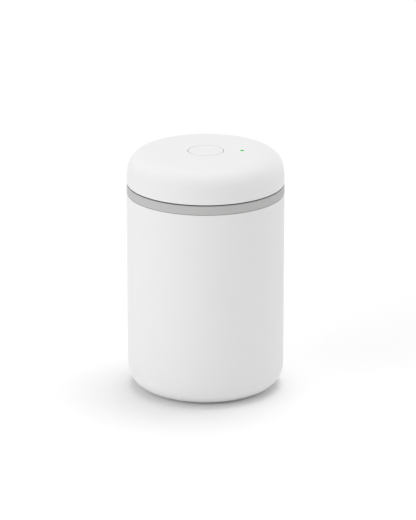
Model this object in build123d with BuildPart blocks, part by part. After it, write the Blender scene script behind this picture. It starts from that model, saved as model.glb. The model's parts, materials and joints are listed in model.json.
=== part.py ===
from build123d import *
import math
import os

# A vacuum storage canister for dry food: a coated steel cup with a moulded rim collar, and a
# lift-off lid that holds a battery, a diaphragm pump, a release valve and their board.
# Millimetres, +Z up. The origin lies on the floor, under the middle of the foot pad. The plain
# front looks along -Y, and the charging port at the back looks along +Y.

os.makedirs("parts", exist_ok=True)

# Cup and foot
body_radius = 60.0
cup_height = 154.1
cup_wall = 1.0
base_corner = 18.2
base_fullness_share = 0.607
shoulder_round = 0.45
neck_inset = 3.5
foot_margin = 3.8
foot_height = 0.6
foot_recess = 0.8
foot_clearance = 0.3
foot_round = 0.4

# Rim collar
collar_height = 7.05
collar_roof = 1.2
collar_clearance = 0.1
collar_round = 0.35
mouth_round = 0.6

# Lid cover
parting_gap = 0.9
lid_height = 24.75
cover_wall = 2.4
lid_corner = 25.0
lid_side_height = 1.95
lid_top_share = 0.707
lid_side_share = 0.898
cover_edge_round = 0.4

# Push button
button_radius = 13.3
button_gap = 0.45
button_roof = 2.4
button_skirt_wall = 1.4
button_flange_reach = 1.7
button_flange_height = 1.2
button_post_radius = 2.0
button_edge_round = 0.16
button_travel = 0.5
well_wall = 2.0
well_depth = 7.4

# Lid chassis, the tray that plugs the mouth
chassis_wall = 2.0
plug_depth = 16.6
flange_clearance = 0.2
gasket_seat = 3.1
gasket_drop = 7.4
gasket_height = 4.2
gasket_squeeze_gap = 0.3
gasket_fit = 0.05
gasket_lip_share = 0.11
gasket_lip_root_shares = (0.04, 0.56)
gasket_lip_rise_share = 0.2
gasket_lip_foot_share = 0.36
rib_height = 1.2
rib_clearance = 0.9
landing_inset = 0.8
landing_edge = 0.4
landing_rib_width = 0.8
landing_rib_height = 0.9
groove_clearance = 0.1

# Screws that join the cover and the chassis
post_turn_degrees = 60.6
post_air = 0.8
post_radius = 3.7
screw_radius = 1.4
screw_head_radius = 2.7
screw_head_height = 2.4
screw_grip = 8.0
screw_clearance = 0.3
thread_clearance = 0.05
counterbore_depth = 5.0
plug_height = 2.2
drive_radius = 1.2
drive_depth = 1.2
pilot_spare = 1.0

# Small screws for the board, the pump and the manifold
small_screw_radius = 0.85
small_head_radius = 1.8
small_head_height = 1.2
small_screw_grip = 5.0
small_drive_radius = 0.8
small_drive_depth = 0.6

# Filter pocket under the plug
filter_ring_radius = 14.2
filter_ring_wall = 1.6
filter_ring_height = 3.2
filter_cap_wall = 1.2
filter_cap_clearance = 0.3
filter_cap_lift = 0.2
filter_screen_height = 0.8
filter_hole_radius = 1.6
filter_hole_circle = 8.0
filter_hole_count = 8
filter_cap_round = 0.5

# Board and what it carries
board_lift = 20.8
board_radius = 40.0
board_height = 1.6
board_left = 10.0
board_front = 16.0
board_tab_width = 16.0
board_port_gap = 3.7
board_post_radius = 2.6
board_post_shares = ((-0.125, 0.825), (0.75, 0.5), (0.75, -0.3), (-0.125, -0.3))
switch_side = 6.2
switch_height = 3.4
stem_radius = 1.75
stem_rise = 1.45
stem_sink = 0.6
stem_clearance = 0.1
led_x = 27.7
led_length = 3.2
led_width = 1.6
led_height = 0.8
pipe_radius = 1.6
pipe_flange_radius = 2.6
pipe_flange_height = 1.2
pipe_air = 0.3
pipe_fit = 0.05
port_width = 8.94
port_height = 3.26
port_length = 7.3
port_shell = 0.3
port_recess = 1.3
port_hole_clearance = 0.35
tongue_width = 6.7
tongue_height = 0.7
tongue_length = 5.2
chip_height = 1.0
chip_shares = ((0.4, 0.42, 0.17), (0.22, 0.7, 0.12), (0.5, -0.16, 0.1), (0.72, 0.25, 0.09))
sensor_side = 7.0
sensor_height = 3.5

# Battery
battery_radius = 7.1
battery_length = 50.0
battery_y = -26.6
battery_round = 0.6
holder_wall = 1.4
holder_side_height = 9.0
holder_clearance = 0.15
contact_height = 0.5
contact_side = 9.0
contact_boss_radius = 2.5
contact_space = 1.6
holder_pin_radius = 1.2
holder_pin_height = 1.2
holder_pin_spread = 30.0
holder_pin_clearance = 0.1

# Air manifold and hoses
manifold_side = 12.0
manifold_height = 8.0
manifold_lug_reach = 11.3
manifold_lug_radius = 3.4
manifold_lug_height = 2.0
manifold_seat_radius = 6.0
manifold_seat_height = 1.0
air_bore_radius = 1.2
seal_inner_radius = 1.6
seal_outer_radius = 3.2
seal_height = 0.8
seal_clearance = 0.1
nipple_radius = 0.95
nipple_bore_radius = 0.5
nipple_length = 3.0
inlet_nipple_length = 1.2
hose_radius = 1.9
hose_bore_radius = 1.0
hose_low_bend = 7.0
hose_high_bend = 3.2
hose_lane = 10.5

# Diaphragm pump
pump_x = -31.0
pump_y = -8.0
pump_width = 20.0
pump_depth = 18.0
pump_frame_height = 20.0
pump_pad_height = 2.0
pump_ear_reach = 13.0
pump_ear_radius = 2.8
pump_ear_height = 2.0
pump_wall = 2.0
crank_room_width = 12.4
diaphragm_hole_radius = 6.2
diaphragm_hole_depth = 3.0
shaft_share = 0.55
crank_throw = 1.2
crank_pin_radius = 1.0
crank_hub_radius = 4.0
crank_hub_height = 2.8
crank_gap = 1.0
rod_ring_wall = 1.6
rod_ring_depth = 4.0
rod_ring_air = 0.2
rod_stem_width = 3.0
rod_plate_radius = 3.4
rod_plate_height = 1.0
diaphragm_radius = 7.4
diaphragm_height = 0.9
diaphragm_web = 0.8
diaphragm_drop = 1.4
stud_radius = 1.0
stud_fit = 0.05
clamp_radius = 3.2
clamp_height = 0.8
head_height = 5.0
head_pocket_clearance = 0.1
head_chamber_radius = 5.8
head_chamber_height = 1.5
head_port_radius = 0.8
head_port_spread = 6.0
valve_disc_radius = 6.0
valve_disc_height = 0.6
flap_radius = 1.9
flap_slot = 0.3
flap_sweep_degrees = 270.0
head_cover_height = 4.0
head_cover_chamber_radius = 2.6
head_cover_chamber_height = 2.6
pump_screw_spread_x = 16.0
pump_screw_spread_y = 14.0

# Pump motor
motor_air = 2.8
motor_length = 24.0
motor_wall = 0.8
motor_boss_radius = 3.0
motor_boss_length = 1.8
motor_boss_clearance = 0.2
bushing_radius = 2.6
bushing_length = 2.6
bushing_fit = 0.03
shaft_radius = 1.0
shaft_running_fit = 0.05
armature_gap = 0.6
armature_inset = 3.0
magnet_thickness = 2.3
magnet_fit = 0.1
magnet_sweep_degrees = 110.0
end_cap_inset = 0.3
end_cap_height = 2.5
end_cap_plug_height = 1.5
end_cap_fit = 0.05
damper_width = 16.0
damper_length = 18.0
damper_height = 4.8
damper_fit = 0.05

# Release valve and its solenoid
valve_x = 30.0
valve_side = 12.0
valve_seat_rise = 1.55
valve_chamber_radius = 3.4
valve_chamber_height = 3.0
valve_bore_radius = 0.9
vent_bore_radius = 0.8
vent_seal_radius = 2.2
vent_seal_height = 1.0
solenoid_width = 12.4
solenoid_depth = 9.0
solenoid_plate = 1.0
solenoid_air = 0.5
coil_radius = 4.4
coil_bore_radius = 2.05
coil_air = 0.1
core_radius = 1.85
core_length = 3.5
core_fit = 0.05
plunger_radius = 1.75
plunger_travel = 1.2
plunger_air = 0.1
plunger_pocket_radius = 1.25
plunger_pocket_depth = 3.0

# Springs
button_spring_radius = 6.0
button_spring_wire = 0.35
button_spring_turns = 6
solenoid_spring_radius = 0.9
solenoid_spring_wire = 0.15
solenoid_spring_turns = 5

# One overrun for every cut, and the distance below which two places are the same
overrun = 1.0
same_place = 0.001

# Heights, from the floor up
cup_base_z = foot_height
cup_floor_under_z = cup_base_z + foot_recess
cup_floor_z = cup_floor_under_z + cup_wall
shoulder_z = cup_base_z + cup_height
collar_top_z = shoulder_z + collar_height
neck_top_z = collar_top_z - collar_roof
lid_bottom_z = collar_top_z + parting_gap
lid_side_top_z = lid_bottom_z + lid_side_height
top_z = lid_bottom_z + lid_height
ceiling_z = top_z - cover_wall
plug_bottom_z = lid_bottom_z - plug_depth
tray_z = plug_bottom_z + chassis_wall
flange_top_z = lid_bottom_z + chassis_wall
board_z = tray_z + board_lift
board_top_z = board_z + board_height
port_z = board_top_z + port_height / 2
well_bottom_z = ceiling_z - well_depth
switch_top_z = board_top_z + switch_height
stem_top_z = switch_top_z + stem_rise
frame_z = tray_z + pump_pad_height
shaft_z = frame_z + pump_frame_height * shaft_share
head_z = frame_z + pump_frame_height
head_cover_z = head_z + head_height
head_cover_top_z = head_cover_z + head_cover_height
rod_top_z = head_z - diaphragm_drop
manifold_z = tray_z + manifold_seat_height
hose_z = manifold_z + manifold_height / 2
manifold_top_z = manifold_z + manifold_height
valve_seat_z = hose_z + valve_seat_rise
valve_top_z = valve_seat_z + valve_chamber_height
solenoid_top_z = board_z - solenoid_air
battery_z = tray_z + holder_wall + holder_clearance + battery_radius

# Radii and places
foot_radius = body_radius - base_corner - foot_margin
lid_flat_radius = body_radius - lid_corner
neck_radius = body_radius - neck_inset
mouth_radius = neck_radius - cup_wall
recess_radius = foot_radius + foot_clearance
cover_inner_radius = body_radius - cover_wall
flange_radius = cover_inner_radius - flange_clearance
plug_radius = mouth_radius - gasket_seat
tray_radius = plug_radius - chassis_wall
rib_radius = mouth_radius - rib_clearance
screw_reach = tray_radius - post_radius - post_air
screw_spread_x = 2 * screw_reach * math.cos(math.radians(post_turn_degrees))
screw_spread_y = 2 * screw_reach * math.sin(math.radians(post_turn_degrees))
motor_radius = shaft_z - tray_z - motor_air
magnet_outer_radius = motor_radius - motor_wall - magnet_fit
magnet_inner_radius = magnet_outer_radius - magnet_thickness
armature_radius = magnet_inner_radius - armature_gap
end_cap_radius = motor_radius - end_cap_inset
port_mouth_y = body_radius - port_recess
port_back_y = port_mouth_y - port_length
board_tab_reach = port_mouth_y - board_port_gap
gasket_low_z = lid_bottom_z - gasket_drop
gasket_high_z = gasket_low_z + gasket_height
landing_inner_radius = mouth_radius + landing_edge
button_hole_radius = button_radius + button_gap
board_post_places = [(board_radius * x, board_radius * y) for x, y in board_post_shares]
manifold_lug_places = [
    (manifold_lug_reach * math.cos(turn), manifold_lug_reach * math.sin(turn))
    for turn in (math.radians(135), math.radians(-45))
]
pump_ear_places = [(pump_x - pump_ear_reach, pump_y), (pump_x + pump_ear_reach, pump_y)]
pump_front_y = pump_y - pump_depth / 2
motor_y = pump_y + pump_depth / 2
motor_end_y = motor_y + motor_length
small_pilot_radius = small_screw_radius + thread_clearance
small_hole_radius = small_screw_radius + screw_clearance


def soft_corner(start, end, corner, start_share, end_share):
    """Draws a smooth corner whose middle is pulled towards the corner point."""
    start, end, corner = Vector(*start), Vector(*end), Vector(*corner)
    Bezier(start, start + (corner - start) * start_share, end + (corner - end) * end_share, end)


def round_bar(plane, radius, length, mode=Mode.ADD):
    """Adds or cuts a round bar that stands on the middle of a plane."""
    with BuildSketch(plane) as section:
        Circle(radius)
    extrude(section.sketch, amount=length, mode=mode)


def round_bars(height, places, radius, length, mode=Mode.ADD):
    """Adds or cuts equal upright bars that stand at the given places."""
    with BuildSketch(Plane.XY.offset(height)) as section:
        with Locations(*places):
            Circle(radius)
    extrude(section.sketch, amount=length, mode=mode)


def block(plane, width, depth, height, mode=Mode.ADD):
    """Adds or cuts a block that stands on the middle of a plane."""
    with BuildSketch(plane) as section:
        Rectangle(width, depth)
    extrude(section.sketch, amount=height, mode=mode)


def turned(points, centre=(0, 0), mode=Mode.ADD):
    """Adds or cuts what an outline of (radius, height) points sweeps round an upright axis."""
    with BuildSketch(Plane((*centre, 0), x_dir=(1, 0, 0), z_dir=(0, -1, 0))) as section:
        with BuildLine():
            Polyline(*points, close=True)
        make_face()
    revolve(section.sketch, axis=Axis((*centre, 0), (0, 0, 1)), mode=mode)


def rearward(y, x=pump_x, z=shaft_z):
    """A plane that looks along +Y, by default with its middle on the motor shaft."""
    return Plane((x, y, z), x_dir=(1, 0, 0), z_dir=(0, 1, 0))


def rightward(x, y, z):
    """A plane that looks along +X."""
    return Plane((x, y, z), x_dir=(0, 1, 0), z_dir=(1, 0, 0))


def leftward(x, y, z):
    """A plane that looks along -X."""
    return Plane((x, y, z), x_dir=(0, -1, 0), z_dir=(-1, 0, 0))


def rings_at(builder, radius, height):
    """The round edges of a piece that have one radius and one height."""
    rounds = builder.edges().filter_by(GeomType.CIRCLE)
    level = rounds.filter_by(lambda edge: abs(edge.arc_center.Z - height) < same_place)
    return level.filter_by(lambda edge: abs(edge.radius - radius) < same_place)


def screw(plane, head, shank, drive):
    """Adds a screw: its head stands on the plane, and its shank goes the other way.

    The head, the shank and the hexagon socket are each given as (radius, length).
    """
    round_bar(plane, *head)
    round_bar(plane, shank[0], -shank[1])
    with BuildSketch(plane.offset(head[1])) as socket:
        RegularPolygon(drive[0], 6)
    extrude(socket.sketch, amount=-drive[1], mode=Mode.SUBTRACT)


def small_screw(x, y, z, grip):
    """Adds an upright small screw whose head stands at height z."""
    screw(
        Plane((x, y, z)),
        (small_head_radius, small_head_height),
        (small_screw_radius, grip),
        (small_drive_radius, small_drive_depth),
    )


def coil(centre, radius, wire, bottom, top, turns):
    """Sweeps a round wire up a coil, with two tangent arcs to each quarter turn.

    Prints the least gap from the wire to its own next turn.
    """
    points_per_turn = 72
    steps = 4 * turns
    rise = (top - bottom - 2 * wire) / steps
    climb = rise / (math.pi / 2)
    ends = []
    for step in range(steps + 1):
        turn = step * math.pi / 2
        across, along = math.cos(turn), math.sin(turn)
        place = Vector(
            centre[0] + radius * across, centre[1] + radius * along, bottom + wire + rise * step
        )
        ends.append((place, Vector(-radius * along, radius * across, climb).normalized()))
    with BuildLine() as path:
        for (start, out), (end, back) in zip(ends, ends[1:]):
            chord, sides = end - start, out + back
            spread = 2 - 2 * out.dot(back)
            reach = chord.dot(sides)
            arm = (math.sqrt(reach**2 + spread * chord.dot(chord)) - reach) / spread
            first, second = start + out * arm, end - back * arm
            middle = (first + second) / 2
            TangentArc(start, middle, tangent=out)
            TangentArc(middle, end, tangent=second - first)
    with BuildSketch(Plane(ends[0][0], z_dir=ends[0][1])) as section:
        Circle(wire)
    sweep(section.sketch, path=path.line)
    count = points_per_turn * turns
    points = [coil_place(radius, 4 * rise, at / points_per_turn) for at in range(count)]
    gaps = [
        math.dist(one, other) - 2 * wire
        for at, one in enumerate(points)
        for other in points[at + points_per_turn // 2:]
    ]
    print(f"coil of radius {radius}: least gap to itself {min(gaps):.2f} mm")


def coil_place(radius, pitch, turn):
    """A point on a coil about the origin, after a number of turns."""
    angle = 2 * math.pi * turn
    return (radius * math.cos(angle), radius * math.sin(angle), pitch * turn)


# Steel cup with a soft base corner and a neck that steps in under the collar
with BuildPart() as canister_body:
    with BuildSketch(Plane.XZ):
        with BuildLine():
            Polyline(
                (0, cup_floor_under_z),
                (recess_radius, cup_floor_under_z),
                (recess_radius, cup_base_z),
                (body_radius - base_corner, cup_base_z),
            )
            soft_corner(
                (body_radius - base_corner, cup_base_z),
                (body_radius, cup_base_z + base_corner),
                (body_radius, cup_base_z),
                base_fullness_share,
                base_fullness_share,
            )
            Polyline(
                (body_radius, cup_base_z + base_corner),
                (body_radius, shoulder_z),
                (neck_radius, shoulder_z),
                (neck_radius, neck_top_z),
                (mouth_radius, neck_top_z),
                (mouth_radius, shoulder_z - cup_wall),
                (body_radius - cup_wall, shoulder_z - cup_wall),
                (body_radius - cup_wall, cup_base_z + base_corner),
            )
            soft_corner(
                (body_radius - cup_wall, cup_base_z + base_corner),
                (body_radius - base_corner, cup_base_z + cup_wall),
                (body_radius - cup_wall, cup_base_z + cup_wall),
                base_fullness_share,
                base_fullness_share,
            )
            Polyline(
                (body_radius - base_corner, cup_base_z + cup_wall),
                (recess_radius + cup_wall, cup_base_z + cup_wall),
                (recess_radius + cup_wall, cup_floor_z),
                (0, cup_floor_z),
                (0, cup_floor_under_z),
            )
        make_face()
    revolve(axis=Axis.Z)
    fillet(rings_at(canister_body, body_radius, shoulder_z), radius=shoulder_round)
canister_body.part.label = "canister_body"
export_step(canister_body.part, "parts/canister_body.step")

# Rubber foot pad in the recess under the cup
with BuildPart() as foot_pad:
    with BuildSketch(Plane.XY):
        Circle(foot_radius)
    extrude(amount=cup_floor_under_z)
    fillet(rings_at(foot_pad, foot_radius, 0), radius=foot_round)
foot_pad.part.label = "foot_pad"
export_step(foot_pad.part, "parts/foot_pad.step")

# Moulded collar that caps the neck, flush with the cup outside
with BuildPart() as rim_collar:
    collar_bore = neck_radius + collar_clearance
    turned(
        [
            (collar_bore, shoulder_z),
            (body_radius, shoulder_z),
            (body_radius, collar_top_z),
            (mouth_radius, collar_top_z),
            (mouth_radius, neck_top_z),
            (collar_bore, neck_top_z),
        ]
    )
    fillet(rings_at(rim_collar, body_radius, shoulder_z), radius=collar_round)
    fillet(rings_at(rim_collar, body_radius, collar_top_z), radius=collar_round)
    fillet(rings_at(rim_collar, mouth_radius, collar_top_z), radius=mouth_round)
rim_collar.part.label = "rim_collar"
export_step(rim_collar.part, "parts/rim_collar.step")

# Lid cover: a shell with a flat top, one big soft corner, a button well and four screw bosses
with BuildPart() as lid_cover:
    with BuildSketch(Plane.XZ):
        with BuildLine():
            Line((0, top_z), (lid_flat_radius, top_z))
            soft_corner(
                (lid_flat_radius, top_z),
                (body_radius, lid_side_top_z),
                (body_radius, top_z),
                lid_top_share,
                lid_side_share,
            )
            Polyline(
                (body_radius, lid_side_top_z),
                (body_radius, lid_bottom_z),
                (cover_inner_radius, lid_bottom_z),
                (cover_inner_radius, lid_side_top_z),
            )
            soft_corner(
                (cover_inner_radius, lid_side_top_z),
                (lid_flat_radius, ceiling_z),
                (cover_inner_radius, ceiling_z),
                lid_side_share,
                lid_top_share,
            )
            Polyline((lid_flat_radius, ceiling_z), (0, ceiling_z), (0, top_z))
        make_face()
    revolve(axis=Axis.Z)
    round_bar(Plane.XY.offset(well_bottom_z), button_hole_radius + well_wall, well_depth)
    with BuildSketch(Plane.XY.offset(flange_top_z)):
        with GridLocations(screw_spread_x, screw_spread_y, 2, 2):
            Circle(post_radius)
    extrude(amount=ceiling_z - flange_top_z)
    with BuildSketch(Plane.XY.offset(flange_top_z)):
        with GridLocations(screw_spread_x, screw_spread_y, 2, 2):
            Circle(screw_radius + thread_clearance)
    extrude(amount=screw_grip + pilot_spare, mode=Mode.SUBTRACT)
    round_bar(
        Plane.XY.offset(well_bottom_z - overrun), button_hole_radius,
        top_z - well_bottom_z + 2 * overrun, Mode.SUBTRACT,
    )
    round_bar(
        Plane((led_x, 0, ceiling_z - overrun)), pipe_radius + pipe_fit,
        cover_wall + 2 * overrun, Mode.SUBTRACT,
    )
    with BuildSketch(rearward(body_radius + overrun, 0, port_z)):
        SlotOverall(port_width + 2 * port_hole_clearance, port_height + 2 * port_hole_clearance)
    extrude(amount=-(3 * cover_wall + overrun), mode=Mode.SUBTRACT)
    fillet(rings_at(lid_cover, body_radius, lid_bottom_z), radius=cover_edge_round)
    fillet(rings_at(lid_cover, button_hole_radius, top_z), radius=button_edge_round)
lid_cover.part.label = "lid_cover"
export_step(lid_cover.part, "parts/lid_cover.step")

# Lid chassis: the tray that closes the cover from below and plugs the mouth
with BuildPart() as lid_chassis:
    turned(
        [
            (0, plug_bottom_z),
            (plug_radius, plug_bottom_z),
            (plug_radius, gasket_low_z - rib_height),
            (rib_radius, gasket_low_z - rib_height),
            (rib_radius, gasket_low_z),
            (plug_radius, gasket_low_z),
            (plug_radius, gasket_high_z),
            (rib_radius, gasket_high_z),
            (rib_radius, lid_bottom_z),
            (flange_radius, lid_bottom_z),
            (flange_radius, flange_top_z),
            (tray_radius, flange_top_z),
            (tray_radius, tray_z),
            (0, tray_z),
        ]
    )
    groove_top_z = lid_bottom_z + landing_rib_height + groove_clearance
    turned(
        [
            (landing_inner_radius - groove_clearance, lid_bottom_z - overrun),
            (landing_inner_radius + landing_rib_width + groove_clearance, lid_bottom_z - overrun),
            (landing_inner_radius + landing_rib_width + groove_clearance, groove_top_z),
            (landing_inner_radius - groove_clearance, groove_top_z),
        ],
        mode=Mode.SUBTRACT,
    )
    with BuildSketch(Plane.XY.offset(tray_z)):
        with GridLocations(screw_spread_x, screw_spread_y, 2, 2):
            Circle(post_radius)
    extrude(amount=flange_top_z - tray_z)
    round_bars(tray_z, board_post_places, board_post_radius, board_lift)
    round_bars(tray_z, pump_ear_places, pump_ear_radius, pump_pad_height)
    round_bars(tray_z, manifold_lug_places, manifold_lug_radius, manifold_seat_height)
    round_bar(Plane.XY.offset(tray_z), manifold_seat_radius, manifold_seat_height)
    with BuildSketch(Plane((0, battery_y, tray_z))):
        with GridLocations(holder_pin_spread, 0, 2, 1):
            Circle(holder_pin_radius)
    extrude(amount=holder_pin_height)
    with BuildSketch(Plane.XY.offset(plug_bottom_z)):
        Circle(filter_ring_radius)
        Circle(filter_ring_radius - filter_ring_wall, mode=Mode.SUBTRACT)
    extrude(amount=-filter_ring_height)
    with BuildSketch(Plane.XY.offset(plug_bottom_z - overrun)):
        with GridLocations(screw_spread_x, screw_spread_y, 2, 2):
            Circle(screw_radius + screw_clearance)
    extrude(amount=flange_top_z - plug_bottom_z + 2 * overrun, mode=Mode.SUBTRACT)
    with BuildSketch(Plane.XY.offset(plug_bottom_z - overrun)):
        with GridLocations(screw_spread_x, screw_spread_y, 2, 2):
            Circle(screw_head_radius + screw_clearance)
    extrude(amount=counterbore_depth + overrun, mode=Mode.SUBTRACT)
    round_bars(
        board_z - small_screw_grip - pilot_spare, board_post_places, small_pilot_radius,
        small_screw_grip + 2 * pilot_spare, Mode.SUBTRACT,
    )
    round_bars(
        tray_z - chassis_wall / 2, pump_ear_places, small_pilot_radius,
        pump_pad_height + chassis_wall, Mode.SUBTRACT,
    )
    round_bars(
        tray_z - chassis_wall / 2, manifold_lug_places, small_pilot_radius,
        manifold_seat_height + chassis_wall, Mode.SUBTRACT,
    )
    round_bar(
        Plane.XY.offset(plug_bottom_z - overrun), air_bore_radius,
        chassis_wall + manifold_seat_height + 2 * overrun, Mode.SUBTRACT,
    )
    round_bar(
        Plane.XY.offset(manifold_z - seal_height), seal_outer_radius + seal_clearance,
        seal_height + overrun, Mode.SUBTRACT,
    )
lid_chassis.part.label = "lid_chassis"
export_step(lid_chassis.part, "parts/lid_chassis.step")

# Mouth gasket with two wiping lips, round the plug
with BuildPart() as lip_gasket:
    gasket_inner = plug_radius + gasket_fit
    gasket_back = plug_radius + (rib_radius - plug_radius) * (1 - gasket_lip_share)
    gasket_tip = mouth_radius - gasket_squeeze_gap
    outline = [(gasket_inner, gasket_low_z), (gasket_back, gasket_low_z)]
    for root_share in gasket_lip_root_shares:
        root_z = gasket_low_z + root_share * gasket_height
        tip_z = root_z + gasket_lip_rise_share * gasket_height
        outline += [
            (gasket_back, root_z),
            (gasket_tip, tip_z),
            (gasket_tip, tip_z + gasket_lip_share * gasket_height),
            (gasket_back, root_z + gasket_lip_foot_share * gasket_height),
        ]
    outline += [(gasket_back, gasket_high_z), (gasket_inner, gasket_high_z)]
    turned(outline)
lip_gasket.part.label = "lip_gasket"
export_step(lip_gasket.part, "parts/lip_gasket.step")

# Landing gasket that fills the parting gap, with a rib in the chassis groove
with BuildPart() as landing_gasket:
    turned(
        [
            (landing_inner_radius, collar_top_z),
            (body_radius - landing_inset, collar_top_z),
            (body_radius - landing_inset, lid_bottom_z),
            (landing_inner_radius + landing_rib_width, lid_bottom_z),
            (landing_inner_radius + landing_rib_width, lid_bottom_z + landing_rib_height),
            (landing_inner_radius, lid_bottom_z + landing_rib_height),
        ]
    )
landing_gasket.part.label = "landing_gasket"
export_step(landing_gasket.part, "parts/landing_gasket.step")

# Four long screws that pull the chassis up against the cover bosses
screw_seat_z = plug_bottom_z + counterbore_depth
screw_places = GridLocations(screw_spread_x, screw_spread_y, 2, 2).local_locations
with BuildPart() as cover_screws:
    for place in screw_places:
        seat = Plane((place.position.X, place.position.Y, screw_seat_z), z_dir=(0, 0, -1))
        screw(
            seat,
            (screw_head_radius, screw_head_height),
            (screw_radius, flange_top_z - screw_seat_z + screw_grip),
            (drive_radius, drive_depth),
        )
cover_screws.part.label = "cover_screws"
export_step(cover_screws.part, "parts/cover_screws.step")

# Soft plugs that hide the screw heads and keep the holes tight
with BuildPart() as screw_plugs:
    with BuildSketch(Plane.XY.offset(plug_bottom_z)):
        with GridLocations(screw_spread_x, screw_spread_y, 2, 2):
            Circle(screw_head_radius + screw_clearance - thread_clearance)
    extrude(amount=plug_height)
screw_plugs.part.label = "screw_plugs"
export_step(screw_plugs.part, "parts/screw_plugs.step")

# Cap of the filter pocket, a shallow cup with holes that pulls off downwards
filter_cap_inner = filter_ring_radius + filter_cap_clearance
filter_cap_floor_z = plug_bottom_z - filter_ring_height - filter_cap_wall - filter_screen_height
filter_cap_top_z = plug_bottom_z - filter_cap_lift
filter_screen_z = filter_cap_floor_z + filter_cap_wall
with BuildPart() as filter_cap:
    turned(
        [
            (0, filter_cap_floor_z),
            (filter_cap_inner + filter_cap_wall, filter_cap_floor_z),
            (filter_cap_inner + filter_cap_wall, filter_cap_top_z),
            (filter_cap_inner, filter_cap_top_z),
            (filter_cap_inner, filter_screen_z),
            (0, filter_screen_z),
        ]
    )
    with BuildSketch(Plane.XY.offset(filter_cap_floor_z - overrun)):
        Circle(filter_hole_radius)
        with PolarLocations(filter_hole_circle, filter_hole_count):
            Circle(filter_hole_radius)
    extrude(amount=filter_cap_wall + 2 * overrun, mode=Mode.SUBTRACT)
    fillet(
        rings_at(filter_cap, filter_cap_inner + filter_cap_wall, filter_cap_floor_z),
        radius=filter_cap_round,
    )
filter_cap.part.label = "filter_cap"
export_step(filter_cap.part, "parts/filter_cap.step")

# Filter felt on the floor of the cap
with BuildPart() as filter_screen:
    with BuildSketch(Plane.XY.offset(filter_screen_z)):
        Circle(filter_cap_inner - filter_cap_clearance)
    extrude(amount=filter_screen_height - filter_cap_lift)
filter_screen.part.label = "filter_screen"
export_step(filter_screen.part, "parts/filter_screen.step")

# Push button: a flush disc with a skirt, a stop flange and a post over the switch
with BuildPart() as button_cap:
    skirt_inner = button_radius - button_skirt_wall
    flange_outer = button_radius + button_flange_reach
    flange_z = well_bottom_z - button_flange_height
    turned(
        [
            (0, top_z),
            (button_radius, top_z),
            (button_radius, well_bottom_z),
            (flange_outer, well_bottom_z),
            (flange_outer, flange_z),
            (skirt_inner, flange_z),
            (skirt_inner, top_z - button_roof),
            (button_post_radius, top_z - button_roof),
            (button_post_radius, stem_top_z),
            (0, stem_top_z),
        ]
    )
    fillet(rings_at(button_cap, button_radius, top_z), radius=button_edge_round)
button_cap.part.label = "button_cap"
export_step(button_cap.part, "parts/button_cap.step")

# Return spring between the board and the button
with BuildPart() as button_spring:
    coil(
        (0, 0), button_spring_radius, button_spring_wire, board_top_z, top_z - button_roof,
        button_spring_turns,
    )
button_spring.part.label = "button_spring"
export_step(button_spring.part, "parts/button_spring.step")

# Main board, a round board cut off at the left and the front, with a tab to the port
with BuildPart() as main_board:
    with BuildSketch(Plane.XY.offset(board_z)):
        Circle(board_radius)
        with Locations(
            ((board_radius - board_left) / 2, (board_radius - board_front) / 2)
        ):
            Rectangle(board_radius + board_left, board_radius + board_front, mode=Mode.INTERSECT)
        with Locations((0, board_tab_reach / 2)):
            Rectangle(board_tab_width, board_tab_reach)
        with Locations(*board_post_places):
            Circle(small_hole_radius, mode=Mode.SUBTRACT)
    extrude(amount=board_height)
main_board.part.label = "main_board"
export_step(main_board.part, "parts/main_board.step")

# Screws that hold the board on its posts
with BuildPart() as board_screws:
    for x, y in board_post_places:
        small_screw(x, y, board_top_z, board_height + small_screw_grip)
board_screws.part.label = "board_screws"
export_step(board_screws.part, "parts/board_screws.step")

# Chips and a coil on the board, each (x share, y share, side share) of the board radius
with BuildPart() as board_chips:
    for x_share, y_share, side_share in chip_shares:
        place = Plane((board_radius * x_share, board_radius * y_share, board_top_z))
        block(place, board_radius * side_share, board_radius * side_share, chip_height)
board_chips.part.label = "board_chips"
export_step(board_chips.part, "parts/board_chips.step")

# Push switch body with a pocket for its stem
with BuildPart() as tact_switch:
    block(Plane.XY.offset(board_top_z), switch_side, switch_side, switch_height)
    round_bar(
        Plane.XY.offset(switch_top_z - stem_sink - 2 * button_travel),
        stem_radius + stem_clearance, stem_sink + 2 * button_travel + overrun, Mode.SUBTRACT,
    )
tact_switch.part.label = "tact_switch"
export_step(tact_switch.part, "parts/tact_switch.step")

# Switch stem, which the button post pushes
with BuildPart() as switch_stem:
    round_bar(Plane.XY.offset(switch_top_z - stem_sink), stem_radius, stem_sink + stem_rise)
switch_stem.part.label = "switch_stem"
export_step(switch_stem.part, "parts/switch_stem.step")

# Status lamp on the board
with BuildPart() as status_led:
    block(Plane((led_x, 0, board_top_z)), led_length, led_width, led_height)
status_led.part.label = "status_led"
export_step(status_led.part, "parts/status_led.step")

# Light pipe from the lamp to the top of the lid, with a flange under the ceiling
with BuildPart() as light_pipe:
    pipe_z = board_top_z + led_height + pipe_air
    turned(
        [
            (0, pipe_z),
            (pipe_radius, pipe_z),
            (pipe_radius, ceiling_z - pipe_flange_height),
            (pipe_flange_radius, ceiling_z - pipe_flange_height),
            (pipe_flange_radius, ceiling_z),
            (pipe_radius, ceiling_z),
            (pipe_radius, top_z),
            (0, top_z),
        ],
        (led_x, 0),
    )
light_pipe.part.label = "light_pipe"
export_step(light_pipe.part, "parts/light_pipe.step")

# Shell of the charging port: a flat tube that is closed at its inner end
with BuildPart() as charge_port:
    with BuildSketch(rearward(port_back_y, 0, port_z)):
        SlotOverall(port_width, port_height)
    extrude(amount=port_length)
    with BuildSketch(rearward(port_back_y + port_shell, 0, port_z)):
        SlotOverall(port_width - 2 * port_shell, port_height - 2 * port_shell)
    extrude(amount=port_length, mode=Mode.SUBTRACT)
charge_port.part.label = "charge_port"
export_step(charge_port.part, "parts/charge_port.step")

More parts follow.
